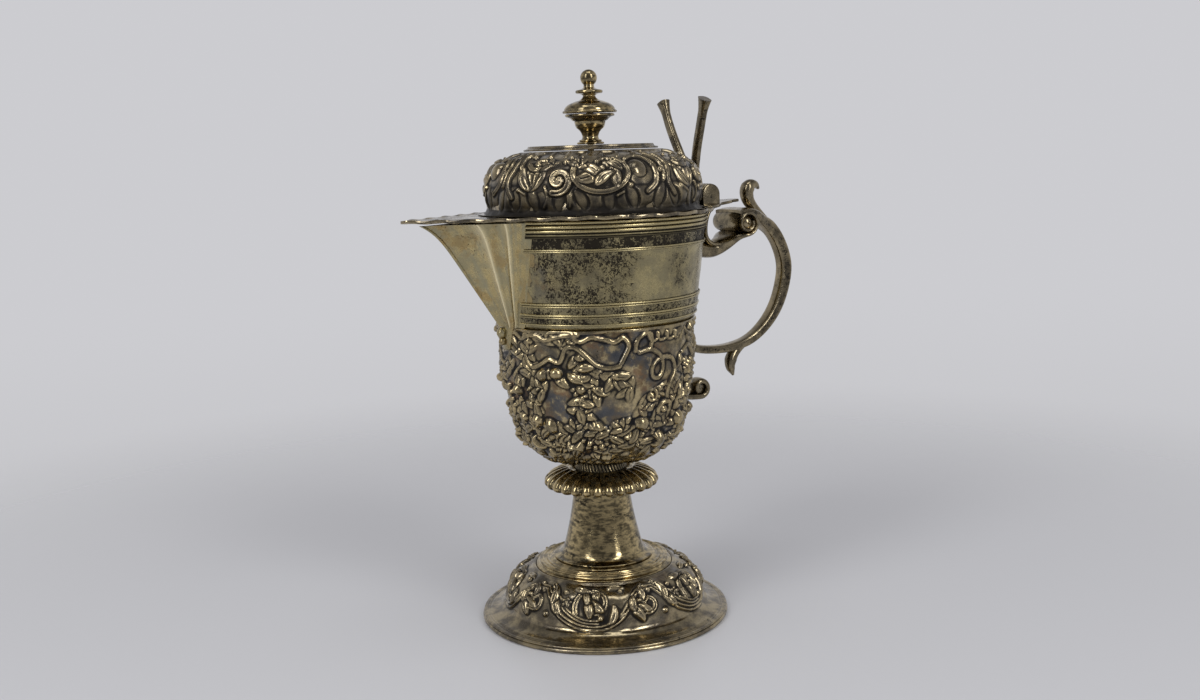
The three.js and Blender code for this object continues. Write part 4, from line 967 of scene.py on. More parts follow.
bowl = {
    "footR": 15.6,
    "lowZ": 78.0,
    "roundR": 46.0,
    "roundZ": 119.4,
    "waistR": 47.2,
    "topZ": 145.1,
    "seed": 11,
    "rise": 2.0,
    "sink": 0.8,
    "lattice": 8.0,
    "bare": 0.2,  # share of the lattice that stays empty
    "rosettes": 24,
    # places in mm round the bowl and down from its top: open ground with half width and half height
    "open": ((31, 38, 9, 9), (56, 33, 11, 8), (78, 14, 17, 14), (54, 11, 10, 7), (120, 33, 10, 9)),
    "ribbons": (
        ((0, 4), (6, 2.2), (12, 4.6), (16, 3.0), (21, 2.4), (26, 4.4), (31, 3.0), (37, 2.2), (42, 4.8),
         (47, 3.0), (53, 4.2), (58, 5.4), (61.5, 3.6), (64, 7.2), (62, 12.0), (59.5, 16.5)),
        ((14, 12), (18, 17), (23, 15.5), (27, 13.0), (32, 14.5), (36, 7.6), (40, 7.4), (45, 11.5), (50, 16),
         (55, 17.2), (59.5, 16.5)),
        ((67, 10), (68, 5.5), (72, 2.6), (75.5, 3.6), (74, 9.8), (68.5, 10.4)),
        ((69, 11), (74.5, 10), (80, 13), (82.5, 18.5), (80, 23.5), (76.5, 23), (76, 18.5), (79.5, 15.2),
         (84, 14.5), (88.5, 16), (90, 21), (86.5, 27), (85.5, 33), (89, 38), (88, 43.5), (82, 48)),
        ((98, 3.5), (103, 6), (108, 4), (114, 7), (120, 4.2), (127, 6.5), (134, 3.2), (140, 5), (146, 4)),
        ((96, 14), (101, 11), (107, 15), (113, 19), (119, 15), (124, 11), (130, 14), (137, 18), (143, 13),
         (150, 10)),
        ((44, 47), (52, 51), (60, 50), (68, 46), (76, 45), (80, 49)),
    ),
    "sprig": ((41, 12), (42, 22), (41, 33), (39, 42)),
    # with size and hand
    "volutes": (
        (84.5, 40, 4.6, 1),
        (76, 32, 3.2, -1),
        (22, 57, 4.6, -1),
        (104, 33, 4.2, 1),
        (139, 40, 4.4, -1),
    ),
}
wall = {
    "waistR": 47.2,
    "midR": 51.2,
    "rimR": 52.8,
    "lowZ": 147.1,
    "rimZ": 194.1,
    "sheet": 1.3,
    "outerGap": 1.35,  # from the face of the sleeve to the wall inside it
    "innerGap": 2.65,
    # mouldings: name, node, low and high edge, depth of tarnish and painted shade, beads as share of the
    # height, radius and swell
    "bands": (
        ("rimMoulding", "rim_moulding", 186.2, 194.0, 1.0,
         ((0.07, 0.4, 0), (0.2, 0.5, 0), (0.42, 0.75, 0.1), (0.66, 0.8, 0.2), (0.9, 0.7, 0.3))),
        ("upperWire", "upper_wire", 180.0, 181.8, 0.6, ((0.25, 0.4, 0), (0.7, 0.5, 0))),
        ("waistMoulding", "waist_moulding", 147.2, 157.6, 0.44,
         ((0.05, 0.45, 0.1), (0.36, 0.4, 0), (0.46, 0.55, 0.15), (0.84, 0.42, 0.1), (0.94, 0.5, 0.15))),
    ),
    # tarnish: turn in degrees, height, spread round and up, amount
    "stains": (
        (235, 171, 20, 12, 1.3), (224, 163, 15, 9, 0.6), (252, 176, 18, 6, 1.1), (240, 159, 28, 2.6, 1.0),
        (216, 176, 10, 6, 0.5), (272, 166, 11, 16, -0.4), (290, 170, 9, 14, 0.8), (256, 166, 16, 9, 0.5),
        (70, 168, 30, 10, 0.5), (130, 172, 20, 9, 0.4), (310, 170, 14, 10, 0.3),
    ),
}


def wallRadius(z):
    t = (np.asarray(z, float) - wall["lowZ"]) / (wall["rimZ"] - wall["lowZ"])
    return (1 - t) ** 2 * wall["waistR"] + 2 * t * (1 - t) * wall["midR"] + t * t * wall["rimR"]


def bowlLine(count):
    low, high = (bowl["footR"], bowl["lowZ"]), (bowl["roundR"], bowl["roundZ"])
    line = bezier(low, (38.4, 78.2), (41.9, 95.5), high, 300) + [(bowl["waistR"], bowl["topZ"])]
    return evenly(line, count).tolist()


def isOpen(u, b):
    return any(((u - x) / wide) ** 2 + ((b - y) / high) ** 2 < 1 for x, y, wide, high in bowl["open"])


def scatterLeaves(sheet, draw, start):
    # sprays, fruit and flowers over half the bowl, apart from the open ground
    big, half, top = bowl["rise"], sheet["length"] / 2, sheet["height"]
    for a in np.arange(0, half - 3, bowl["lattice"]):
        for b in np.arange(4, top - 16, bowl["lattice"]):
            atU, atB = a + draw.uniform(-1.8, 1.8), b + draw.uniform(-1.8, 1.8)
            if isOpen(atU, atB) or draw.uniform() < bowl["bare"]:
                continue
            u, v = start + atU, top - atB
            kind, way, size = draw.uniform(), draw.uniform(0, fullTurn), draw.uniform(6.6, 9.0)
            if kind < 0.5:
                spray(sheet, u, v, way, size, big * draw.uniform(0.5, 1.2), 2.8)
            elif kind < 0.78:
                blade(sheet, u, v, way + 2.2, size, size * 0.6, big * 0.8, 0.6)
                fruit(sheet, u, v, size * 0.4, big * 1.5, way)
            elif kind < 0.9:
                berries(sheet, u, v, size * 0.26, big, 6, draw)
            else:
                flower(sheet, u, v, size * 0.5, big, way)


def ringFruit(sheet, draw):
    # leaves, fruit and vines round the foot of the bowl
    big, count, up = bowl["rise"], bowl["rosettes"], math.pi / 2
    line = np.array(bowlLine(60))
    fruitV = np.interp(bowl["lowZ"] + 13, line[:, 1], runOf(line))
    for k in range(count):
        u = (k + 1) * sheet["length"] / count
        blade(sheet, u, 3.0, up, 11.0, 6.4, big * 0.8)
        blade(sheet, u + 6, 5.0, up + draw.uniform(-0.4, 0.4), 9.0, 5.0, big * 0.9, draw.uniform(-0.6, 0.6))
        if k % 2 == 0:
            fruit(sheet, u, fruitV, draw.uniform(4.2, 5.0), big * 1.7, draw.uniform(0, fullTurn))
            spray(sheet, u, fruitV + 8.0, draw.uniform(-0.6, 0.6) + up, 6.0, big * 0.85)
        else:
            vine(sheet, [(u - 4, fruitV + 2), (u + 1, fruitV - 2), (u + 5, fruitV + 3)], 4.2, big, draw, 0.6)
            fruit(sheet, u, fruitV + 10.0, draw.uniform(3.2, 4.2), big * 1.5, draw.uniform(0, fullTurn))
        fruit(sheet, u + 5, fruitV - 8.0, 2.6, big * 0.8, draw.uniform(0, fullTurn))
        for _ in range(2):
            leafU, leafV = u + draw.uniform(-5, 5), fruitV + draw.uniform(-4, 9)
            turn, high = draw.uniform(0, fullTurn), big * draw.uniform(0.6, 1.0)
            blade(sheet, leafU, leafV, turn, 7.0, 4.2, high, draw.uniform(-1, 1))


def chaseBowl(sheet, draw):
    # leaves on a lattice, a sprig, ribbons, a coil and volutes, twice round; then fruit and leaves below
    big, half, top = bowl["rise"], sheet["length"] / 2, sheet["height"]
    for u in (0, half):
        scatterLeaves(sheet, draw, u)
        vine(sheet, through([(u + a, top - b) for a, b in bowl["sprig"]], 60), 6.0, big * 1.1, draw, 0.2)
        for fold in bowl["ribbons"]:
            ribbon(sheet, through([(u + a, top - b) for a, b in fold], 110), 0.85, big * 0.75)
        coil = np.linspace(0, 7.5 * math.pi, 150)
        loops = np.stack([u + 73 + coil * 0.78 + 1.5 * np.cos(coil), top - 4.6 + 1.8 * np.sin(coil)], 1)
        stroke(sheet, loops, 0.5, big * 0.7)
        for a, b, size, hand in bowl["volutes"]:
            volute(sheet, u + a, top - b, size, 1.3, 1.0, hand, size * 0.24, big * 1.2)
    ringFruit(sheet, draw)
    stroke(sheet, [(u, top - 0.8) for u in np.linspace(0, sheet["length"], 300)], 0.4, 0.6)


def makeBowl():
    line, bore = bowlLine(152), stem["boreR"]
    inner = offset(bowlLine(12), 1.0)[::-1]
    inner[0], inner[-1] = (46.2, bowl["topZ"]), (bore, bowl["lowZ"] + 1)
    piece = wrapPiece("bowlSleeve", line + inner + [(bore, bowl["lowZ"])], 590)
    runs, radii = runOf(line), np.array(line)[:, 0] / bowl["roundR"]
    sheet = newSheet(2 * math.pi * bowl["roundR"], runs[-1], lambda v: float(np.interp(v, runs, radii)))
    draw = np.random.default_rng(bowl["seed"])
    chaseBowl(sheet, draw)
    closeSheet(sheet, draw, bowl["sink"], deep=0.5, filmed=0.9, hammer=0.42)
    chase(piece, line, sheet, 0.0)
    fit(piece, "vessel", "bowl_gilt", "bowl_sleeve")
    print("bowl chased,", len(piece.data.polygons), "faces")


spout = {
    "tipX": 86.8,
    "footX": 50.5,
    "flare": 5.5,
    "lowZ": 145.4,
    "topZ": 193.2,
    "wall": 1.3,
    "ridges": (0.0, 0.2, 0.46, 1.0),  # as share of a side, from the wall to the keel
    "dips": (0.5, 0.9, 1.2),
    "steps": 22,
    "rib": 0.8,
    "ribW": 1.1,
    "tongue": (146.4, 134.5),
    "beads": ((2.5, 142.4), (1.9, 138.4)),  # radius and height
}


def spoutAngle(z):
    # half the angle that the spout takes up on the wall at a height
    t = np.clip((np.asarray(z, float) - spout["lowZ"]) / (spout["topZ"] - spout["lowZ"]), 0, 1)
    return np.radians(lerp(14, 28, t ** 0.8))


def spoutSide(z, grow, inset=0.7):
    # one side of the spout at a height, from its root on the wall to the keel
    t = min(max((z - spout["lowZ"]) / (spout["topZ"] - spout["lowZ"]), 0), 1)
    straight = spout["tipX"] - spout["flare"] - spout["footX"]
    keel = -(spout["footX"] + straight * t + spout["flare"] * t ** 12)
    half = float(spoutAngle(z))
    root = float(wallRadius(max(z, wall["lowZ"]))) - inset
    corner, tip = np.array([-root * math.cos(half), root * math.sin(half)]), np.array([keel, 0.0])
    long = np.linalg.norm(tip - corner)
    out = (tip - corner) / long
    away = np.array([out[1], -out[0]])
    away = away if away[1] > 0 else -away
    places, sunk = [0.0], [0.0]
    for a, b, deep in zip(spout["ridges"], spout["ridges"][1:], spout["dips"]):
        share = 0.5 - 0.5 * np.cos(np.pi * np.linspace(0, 1, spout["steps"] + 1)[1:])  # denser at the ridges
        near = np.minimum(share, 1 - share) * (b - a) * long
        rib = spout["rib"] * np.exp(-(near / spout["ribW"]) ** 2) * np.where(share < 0.5, a > 0, b < 1)
        places += lerp(a, b, share).tolist()
        sunk += (deep * (0.35 + 0.65 * t) * np.sin(np.pi * share) ** 0.75 - rib).tolist()
    side = corner + np.array(places)[:, None] * (tip - corner) + (grow - np.array(sunk))[:, None] * away
    side[-1] = (keel - grow / max(-away[0], 0.3), 0)
    if grow == 0:  # solder fillet that runs out on the wall
        edge, bend = half + math.radians(4.5), np.linspace(0, 1, 13)[:-1, None]
        seat = (root + inset + 0.05) * np.array([-math.cos(edge), math.sin(edge)])
        knee = corner * (root + inset) / root
        side[:12] = (1 - bend) ** 2 * seat + 2 * bend * (1 - bend) * knee + bend ** 2 * side[12]
    return side


def bothSides(side):
    return np.concatenate([side, side[::-1][1:] * np.array([1, -1])])


def spoutHollow():
    # the inside of the spout with a flat back, to cut the opening in the wall
    loops, back = [], 6.0
    for z in np.linspace(spout["lowZ"] + 2, 196, 40):
        side = spoutSide(z, -spout["wall"])
        x, y = side[0][0] + back, side[0][1] * 0.8
        loops.append([(a, b, z) for a, b in np.concatenate([bothSides(side), [(x, -y), (x, y)]])])
    return gridPiece("spoutHollow", loops)


def reeds(low, high, beads):
    # outline of a soldered band, with beads on a thin back
    lowR, highR = float(wallRadius(low)), float(wallRadius(high))
    line = [(lowR - 0.2, low), (lowR + 0.3, low + 0.05)]
    for share, radius, proud in beads:
        z = lerp(low, high, share)
        line += [(r + proud, h) for r, h in arc(float(wallRadius(z)) + 0.3, z, radius, -88, 88, 9)]
    return np.array(line + [(highR + 0.3, high - 0.05), (highR - 0.2, high)])


def bandPiece(name, line, steps):
    # a band round the wall from one side of the spout to the other
    half = spoutAngle(line[:, 1]) + 0.012
    rows = []
    for share in np.linspace(0, 1, steps):
        a = lerp(math.pi + half, 3 * math.pi - half, share)
        rows.append(np.stack([line[:, 0] * np.cos(a), line[:, 0] * np.sin(a), line[:, 1]], 1))
    return gridPiece(name, rows)


def stainWall(piece):
    # tarnish: a dark band under the rim, clusters in the middle, film and a yellow margin by the spout
    points, bandZ = aroundAxis(piece), 181
    turn, z = np.degrees(np.arctan2(points[:, 1], points[:, 0])) % 360, points[:, 2]

    def blot(at, height, wide, tall):
        off = (turn - at + 180) % 360 - 180
        return np.exp(-((off / wide) ** 2) - ((z - height) / tall) ** 2)

    band = 1.9 + 0.8 * blot(232, 184, 22, 30) + 0.6 * blot(120, 184, 30, 30)
    stain = np.clip((z - 180.5) / 1.5, 0, 1) * band
    for at, height, wide, tall, much in wall["stains"]:
        stain = stain + much * blot(at, height, wide, tall)
    stain = np.minimum(stain, np.where(z > bandZ, 1.55, 0.95))
    stain = stain * np.where(z > bandZ, np.clip(0.5 + np.abs((turn - 200) / 30), 0, 1), 1)
    markPiece(piece, "stain", stain)
    markPiece(piece, "film", 0.55 * blot(213, 168, 7, 10) + 0.5 * blot(147, 166, 9, 10))
    seam = np.abs(turn - 180) - np.degrees(spoutAngle(z))
    markPiece(piece, "margin", np.clip(1.0 - seam / 12.0, 0, 1) * (z > 157.5) * (z < 180))


# tarnish with painted shade in the low parts of the mouldings, rubbed gilding with a painted highlight on
# the proud beads, and stain where the band lies low
def stainBand(piece, dirt):
    # dirt lies in the low parts of the mouldings
    points = aroundAxis(piece)
    proud = np.hypot(points[:, 0], points[:, 1]) - wallRadius(points[:, 2])
    markPiece(piece, "hollow", np.clip((dirt - proud) / 0.4, 0, 1))
    markPiece(piece, "crest", np.clip((proud - 0.5) / 0.4, 0, 1) * 0.8)
    markPiece(piece, "stain", 1.2 * np.clip(1 - (proud - 0.3) / 0.5, 0, 1))


def makeWall():
    rimR, rimZ, sheet = wall["rimR"], wall["rimZ"], wall["sheet"]
    zs = np.linspace(wall["lowZ"], rimZ - 0.3, 40)
    floor = bowl["lowZ"] + 1.4
    outline = [(0, floor), (14, floor)] + offset(bowlLine(24), wall["outerGap"])[2:-1]
    outline += [(45.9, 145.2), (46.9, 146.4)] + [(float(wallRadius(z)), z) for z in zs]
    outline += [(rimR - 0.35, rimZ), (rimR - 1.0, rimZ), (rimR - sheet, rimZ - 0.4)]
    outline += [(float(wallRadius(z)) - sheet, z) for z in zs[::-1]] + [(44.6, 145)]
    outline += offset(bowlLine(24), wall["innerGap"])[2:-1][::-1] + [(13, floor + sheet), (0, floor + sheet)]
    piece = spinPiece("bodyWall", outline, 256)
    hollow = spoutHollow()
    useModifier(piece, "BOOLEAN", operation="DIFFERENCE", solver="EXACT", object=hollow)
    bpy.data.objects.remove(hollow)
    stainWall(piece)
    fit(piece, "vessel", "wall_gilt", "body_wall", angle=40)
    print("wall made")

    for name, cadName, low, high, dirt, beads in wall["bands"]:
        piece = bandPiece(name, reeds(low, high, beads), 220)
        stainBand(piece, dirt)
        fit(piece, "vessel", "wall_gilt", cadName, angle=45)
    print("mouldings made")


def makeSpout():
    # skin of outer loops, over the lip and down the inside to the floor
    low, high, steps = spout["lowZ"], spout["topZ"], spout["steps"]
    loops, crest = [], []
    # painted highlight along the ridges of the outer skin, carried by the crest mark
    place = np.arange(steps * (len(spout["ridges"]) - 1) + 1)
    near = np.minimum(place % steps, -place % steps)
    line = np.exp(-(near / 3.6) ** 2) * (place > steps / 2) * (place < 2.5 * steps)
    line = np.concatenate([line, line[::-1][1:]])
    skins = (
        (0.0, 0.7, np.linspace(low, high, 60), 1.0),
        (-spout["wall"], 0.9, np.linspace(high, low + 2, 40), 0.0),
    )
    for grow, inset, heights, bright in skins:
        for z in heights:
            loops.append([(x, y, z) for x, y in bothSides(spoutSide(z, grow, inset))])
            crest.append(bright * line)
    piece = gridPiece("spoutBeak", loops, closeRound=False, crest=crest)
    fit(piece, "vessel", "spout_gilt", "spout", angle=60)

    loops, quarter = [], math.pi / 2
    for t in np.linspace(0, 1, 24):  # tongue that runs down the bowl under the keel
        half, proud = lerp(8.0, 3.0, t ** 0.8), lerp(1.9, 1.0, t)
        y = half * np.sin(np.linspace(-quarter, quarter, 17))
        x = np.sqrt(47.1 ** 2 - y * y) + proud * np.cos(y / half * math.pi / 2) ** 0.6
        face = np.stack([-x, y, np.full(17, lerp(*spout["tongue"], t))], 1)
        loops.append(np.concatenate([face, face[::-1][[0, -1]] * np.array([0.975, 0.9, 1])]))
    beads = [gridPiece("tongue", loops)]
    for radius, z in spout["beads"]:
        spot = ((axisX - 48.0 - radius * 0.55) * mm, 0, z * mm)
        bpy.ops.object.select_all(action="DESELECT")
        bpy.ops.mesh.primitive_uv_sphere_add(segments=40, ring_count=24, radius=radius * mm, location=spot)
        bead = bpy.context.object
        bpy.ops.object.transform_apply(location=True, rotation=True, scale=True)
        points = getPoints(bead)
        off = points[:, :2] - points.mean(0)[:2]
        lobed = 1 - 0.06 * np.abs(np.sin(4 * np.arctan2(off[:, 1], off[:, 0])))
        points[:, :2] = points.mean(0)[:2] + off * lobed[:, None]
        putPoints(bead, points)
        beads.append(bead)
    fit(joinPieces("spoutDrop", beads), "vessel", "spout_gilt", "spout_drop")
    print("spout made")


# handle

handle = {
    "reach": 108.8,
    "rollX": 80.3,
    "rollZ": 186.1,
    "rollR": 6.2,
    "rollW": 26.0,
    "curlX": 56.5,
    "curlR": 4.3,
}


def section(count, square, flank=0.0):
    # rounded bar section; flank dips its sides
    a = 2 * math.pi * (np.arange(count) + 0.5) / count
    side, deep = (np.sign(x) * np.abs(x) ** square for x in (np.cos(a), np.sin(a)))
    return np.stack([side * (1 - flank * np.clip(1 - (deep / 0.8) ** 2, 0, 1)), deep], 1)


def sweepBar(name, line, widths, depths, shape):
    loops = []
    for (x, z), (tx, tz), width, depth in zip(line, heading(line), widths, depths):
        side, deep = shape[:, 0] * width / 2, shape[:, 1] * depth / 2
        loops.append(np.stack([x - tz * deep, side, z + tx * deep], 1))
    return gridPiece(name, loops)


def roll(x, z, outer, inner, start, turns, count):
    t = np.linspace(0, 1, count)
    a = math.radians(start) + 2 * math.pi * turns * t
    r = lerp(outer, inner, t)
    return np.stack([x + r * np.cos(a), z + r * np.sin(a)], 1).tolist()


def eyeBead(name, x, z, radius, width):
    bpy.ops.object.select_all(action="DESELECT")
    bpy.ops.mesh.primitive_uv_sphere_add(segments=32, ring_count=20, radius=radius * mm)
    bead = bpy.context.object
    bead.name = name
    points = getPoints(bead)
    stretched = np.sign(points[:, 2]) * np.abs(points[:, 2] / (radius * mm)) ** 0.7 * width / 2
    putPoints(bead, np.stack([points[:, 0] + (axisX + x) * mm, stretched * mm, points[:, 1] + z * mm], 1))
    operate(bead, mergeSeams)
    return bead


def makeHandle():
    rim, reach, rollX, rollZ = wall["rimZ"], handle["reach"], handle["rollX"], handle["rollZ"]
    t = np.linspace(0, 1, 170)
    neck = [(49.3, rim - 15.4), (55.0, rim - 18.6), (61.0, rim - 20.6), (66.5, rim - 20.6),
            (71.8, rim - 18.2), (76.9, rim - 14.6)]
    neck = through(neck + roll(rollX, rollZ, handle["rollR"] - 0.5, 2.9, -70, 1.25, 22), 170)
    widths = lerp(10, handle["rollW"], swell(t, 0.26, 0.5))
    depths = lerp(7.8, 3.6, swell(t, 0.3, 0.52))
    parts = [sweepBar("handleScroll", neck, widths, depths, section(32, 0.85))]
    parts += [eyeBead("eye", rollX, rollZ, 2.0, 27.4), eyeBead("core", rollX, rollZ, 5.6, 25.4)]
    fit(joinPieces("handleScroll", parts), "vessel", "handle_gilt", "handle_scroll", angle=50)

    t = np.linspace(0, 1, 190)
    bar = through([(rollX - 3.4, rollZ + 4.9), (rollX + 1.8, rollZ + 5.7), (rollX + 7.5, rollZ + 4.2),
                   (rollX + 12.9, rollZ + 0.9), (reach - 8, rim - 11.6), (reach - 2.1, rim - 19.6),
                   (reach + 1.5, rim - 31), (reach + 0.1, rim - 41.7), (reach - 4.6, rim - 53),
                   (reach - 12, rim - 61.9), (reach - 21.5, rim - 68.2), (reach - 33, rim - 70.9),
                   (reach - 44, rim - 71.0), (reach - 53, rim - 69.6), (47.4, rim - 66.2)], 190)
    widths = lerp(25, 7.4, swell(t, 0.02, 0.22)) + 3.0 * swell(t, 0.88, 1.0)
    depths = lerp(lerp(3.4, 6.9, swell(t, 0.02, 0.2)), 4.2, swell(t, 0.35, 0.85))
    depths = depths + 8.0 * swell(t, 0.93, 1.0) ** 2
    shape = section(40, 0.62, 0.06)
    piece = sweepBar("handleBar", bar, widths, depths, shape)
    # stained pits on the flanks; rubbed gilding with a painted highlight along the edges
    pits = np.clip(1 - (np.abs(shape[:, 1]) / 0.75) ** 2, 0, 1)
    markPiece(piece, "stain", np.tile(0.85 * pits, 190))
    markPiece(piece, "crest", np.tile(np.clip(1 - 2 * pits, 0, 1) * 0.6, 190))
    fit(piece, "vessel", "handle_gilt", "handle_bar", angle=50)

    t = np.linspace(0, 1, 70)
    leaf = through([(reach - 9.4, rim - 10.5), (rollX + 11.5, rollZ + 6.4), (rollX + 8.0, rollZ + 11.4),
                    (rollX + 7.6, rollZ + 15.6), (rollX + 9.6, rollZ + 18.2), (rollX + 12.6, rollZ + 18.0),
                    (rollX + 14.8, rollZ + 16.2)], 70)
    plump = np.interp(t, (0, 0.4, 0.62, 0.76, 0.9, 1), (6.0, 5.0, 6.2, 6.6, 4.2, 1.2))
    piece = sweepBar("handleLeaf", leaf, np.minimum(plump * 1.15, 7.6), plump, section(28, 0.85))
    fit(piece, "vessel", "handle_gilt", "handle_leaf", angle=60)

    spur = through([(reach - 20, rim - 67.4), (reach - 27.4, rim - 71.4), (reach - 31.4, rim - 75.6),
                    (reach - 32.6, rim - 80.2), (reach - 30.8, rim - 85.6)], 70)
    plump = np.interp(t, (0, 0.4, 0.66, 0.86, 1), (3.6, 5.0, 5.8, 4.0, 1.0))
    piece = sweepBar("handleSpur", spur, plump * 1.1, plump, section(28, 0.85))
    fit(piece, "vessel", "handle_gilt", "handle_spur", angle=60)

    t = np.linspace(0, 1, 110)
    curlX, curlZ = handle["curlX"], bowl["lowZ"] + 26.9
    curl = roll(curlX, curlZ, handle["curlR"], 2.2, -85, 0.86, 20)
    tail = through([(40.5, curlZ - 1.9), (48.5, curlZ - 3.6)] + curl, 110)
    depths = lerp(3.8, 3.2, t) + 0.8 * swell(t, 0.84, 0.96)
    piece = sweepBar("tailScroll", tail, lerp(10.2, 8.6, t), depths, section(28, 0.75))
    fit(piece, "vessel", "handle_gilt", "tail_scroll", angle=50)
    print("handle made")


# hinge and thumbpiece

plate = {"lowZ": 194.4, "topZ": 195.8}  # sheet of the lid's flange and of the tail behind it
hinge = {
    "x": 58.5,
    "z": 201.2,
    "knuckleR": 4.1,
    "earR": 4.9,
    "tailX": 82,
    "tailRise": 2.0,
    "width": 25.0,
    "lidKnuckle": 9.0,
    # prongs of the fork: towards the hinge, to the side, height
    "prong": ((1.4, 0.6, 204.8), (2.9, 2.6, 210.3), (5, 7.7, 221.3), (6.4, 14, 234.3), (6.9, 18.85, 246.3)),
    "prongWide": 4.9,
    "prongDeep": 3.5,
}


def slab(name, outline, low, high, across, bevel):
    # flat outline filled and drawn out, then its edges broken; across "z" lies flat, "y" stands
    bpy.ops.object.select_all(action="DESELECT")
    bpy.ops.mesh.primitive_circle_add(vertices=len(outline), radius=0.01, fill_type="NGON")
    piece = bpy.context.object
    piece.name = name
    if across == "z":
        putPoints(piece, [((axisX + a) * mm, b * mm, low * mm) for a, b in outline])
        push = (0, 0, (high - low) * mm)
    else:
        putPoints(piece, [((axisX + a) * mm, low * mm, b * mm) for a, b in outline])
        push = (0, (high - low) * mm, 0)

    def drawOut():
        bpy.ops.mesh.extrude_region_move(TRANSFORM_OT_translate={"value": push})
        bpy.ops.mesh.select_all(action="SELECT")

    operate(piece, drawOut, mergeSeams)
    limit = math.radians(40)
    useModifier(piece, "BEVEL", width=bevel * mm, segments=3, limit_method="ANGLE", angle_limit=limit)
    return piece


def makeBracket():
    x, z, r, tall, end = hinge["x"], hinge["z"], hinge["knuckleR"], hinge["earR"], hinge["tailX"]
    half = curve((x - r, -17.8), (x + 3, -16.5), (x + 8.5, -8.5), 12)
    half += curve((x + 8.5, -8.5), (74, -8.5), (77, -4), 10)[1:]
    half += curve((77, -4), (end, -4), (end, 0), 10)[1:]
    tongue = half + [(a, -b) for a, b in half[::-1][1:]]
    parts = [slab("tailPlate", tongue, plate["lowZ"], plate["topZ"], "z", 0.35)]
    points = getPoints(parts[0])  # the tail bends up
    points[:, 2] += hinge["tailRise"] * mm * swell(points[:, 0] / mm - axisX, x - 6, end)
    putPoints(parts[0], points)
    ear = (hinge["width"] - hinge["lidKnuckle"]) / 2 - 0.4
    shape = [(x - tall, 195.2)] + arc(x, z, tall, 180, 0, 25) + [(x + tall, 195.2)]
    ring = arc(x, z, tall + 0.18, 180, 0, 25) + arc(x, z, tall - 0.3, 0, 180, 25)
    for low in (-hinge["width"] / 2, hinge["width"] / 2 - ear):
        inner, outer = sorted((low, low + ear), key=abs)
        outer += math.copysign(0.2, outer)  # closes over the pin
        parts.append(slab("ear", shape, min(inner, outer), max(inner, outer), "y", 0.5))
        for k in range(3):  # turned lines round the barrel
            mid = low + ear * (0.2 + 0.3 * k)
            parts.append(slab("line", ring, mid - 0.35, mid + 0.35, "y", 0.12))
    top = wall["rimZ"]
    strap = through([(68.0, top - 18.0), (63.0, top - 17.2), (60.0, top - 14.2), (59.4, top - 10),
                     (60.2, top - 5), (61.8, top - 1.6), (x + 6.2, 195.0)], 60)
    parts.append(sweepBar("strap", strap, [13] * 60, [2.4] * 60, section(24, 0.6)))
    fit(joinPieces("hingeBracket", parts), "vessel", "handle_gilt", "hinge_bracket", angle=40)


def makeProng(hand):
    # bar that leans out to one side, ridged at its root and flared at its end
    line = through([(hinge["x"] - a, hand * b, z) for a, b, z in hinge["prong"]], 70)
    side, shape, loops = np.array([1.0, 0, 0]), section(24, 0.7), []
    across = np.cross(heading(line), side)
    across /= np.linalg.norm(across, axis=1)[:, None]
    for k, (mid, over) in enumerate(zip(line, across)):
        t = k / 69
        flare = 1 + 0.5 * max(0, (t - 0.85) / 0.15) ** 1.5
        ridge = 1 - 0.1 * abs(math.sin(t * 40)) * (t < 0.3)
        wide, deep = hinge["prongWide"] * flare * ridge, hinge["prongDeep"] * flare
        loops.append(mid + shape[:, :1] * deep / 2 * side + shape[:, 1:] * wide / 2 * over)
    return gridPiece("prong", loops)


def makeHinge():
    makeBracket()
    x, z, r, half = hinge["x"], hinge["z"], hinge["knuckleR"], hinge["lidKnuckle"] / 2
    shape = [(52.3, 196.1), (52.3, 198.2)] + curve((52.4, 198.6), (54, 199), (x - r, z), 8)
    shape += arc(x, z, r, 180, -60, 32) + [(x - 0.5, 196.1)]
    fit(slab("lidKnuckle", shape, -half, half, "y", 0.4), "lid", "handle_gilt", "lid_knuckle", angle=40)

    piece = joinPieces("thumbFork", [makeProng(hand) for hand in (-1, 1)])
    markPiece(piece, "stain", 0.55)
    fit(piece, "lid", "handle_gilt", "thumb_fork", angle=50)
    print("hinge and thumbpiece made")


# lid

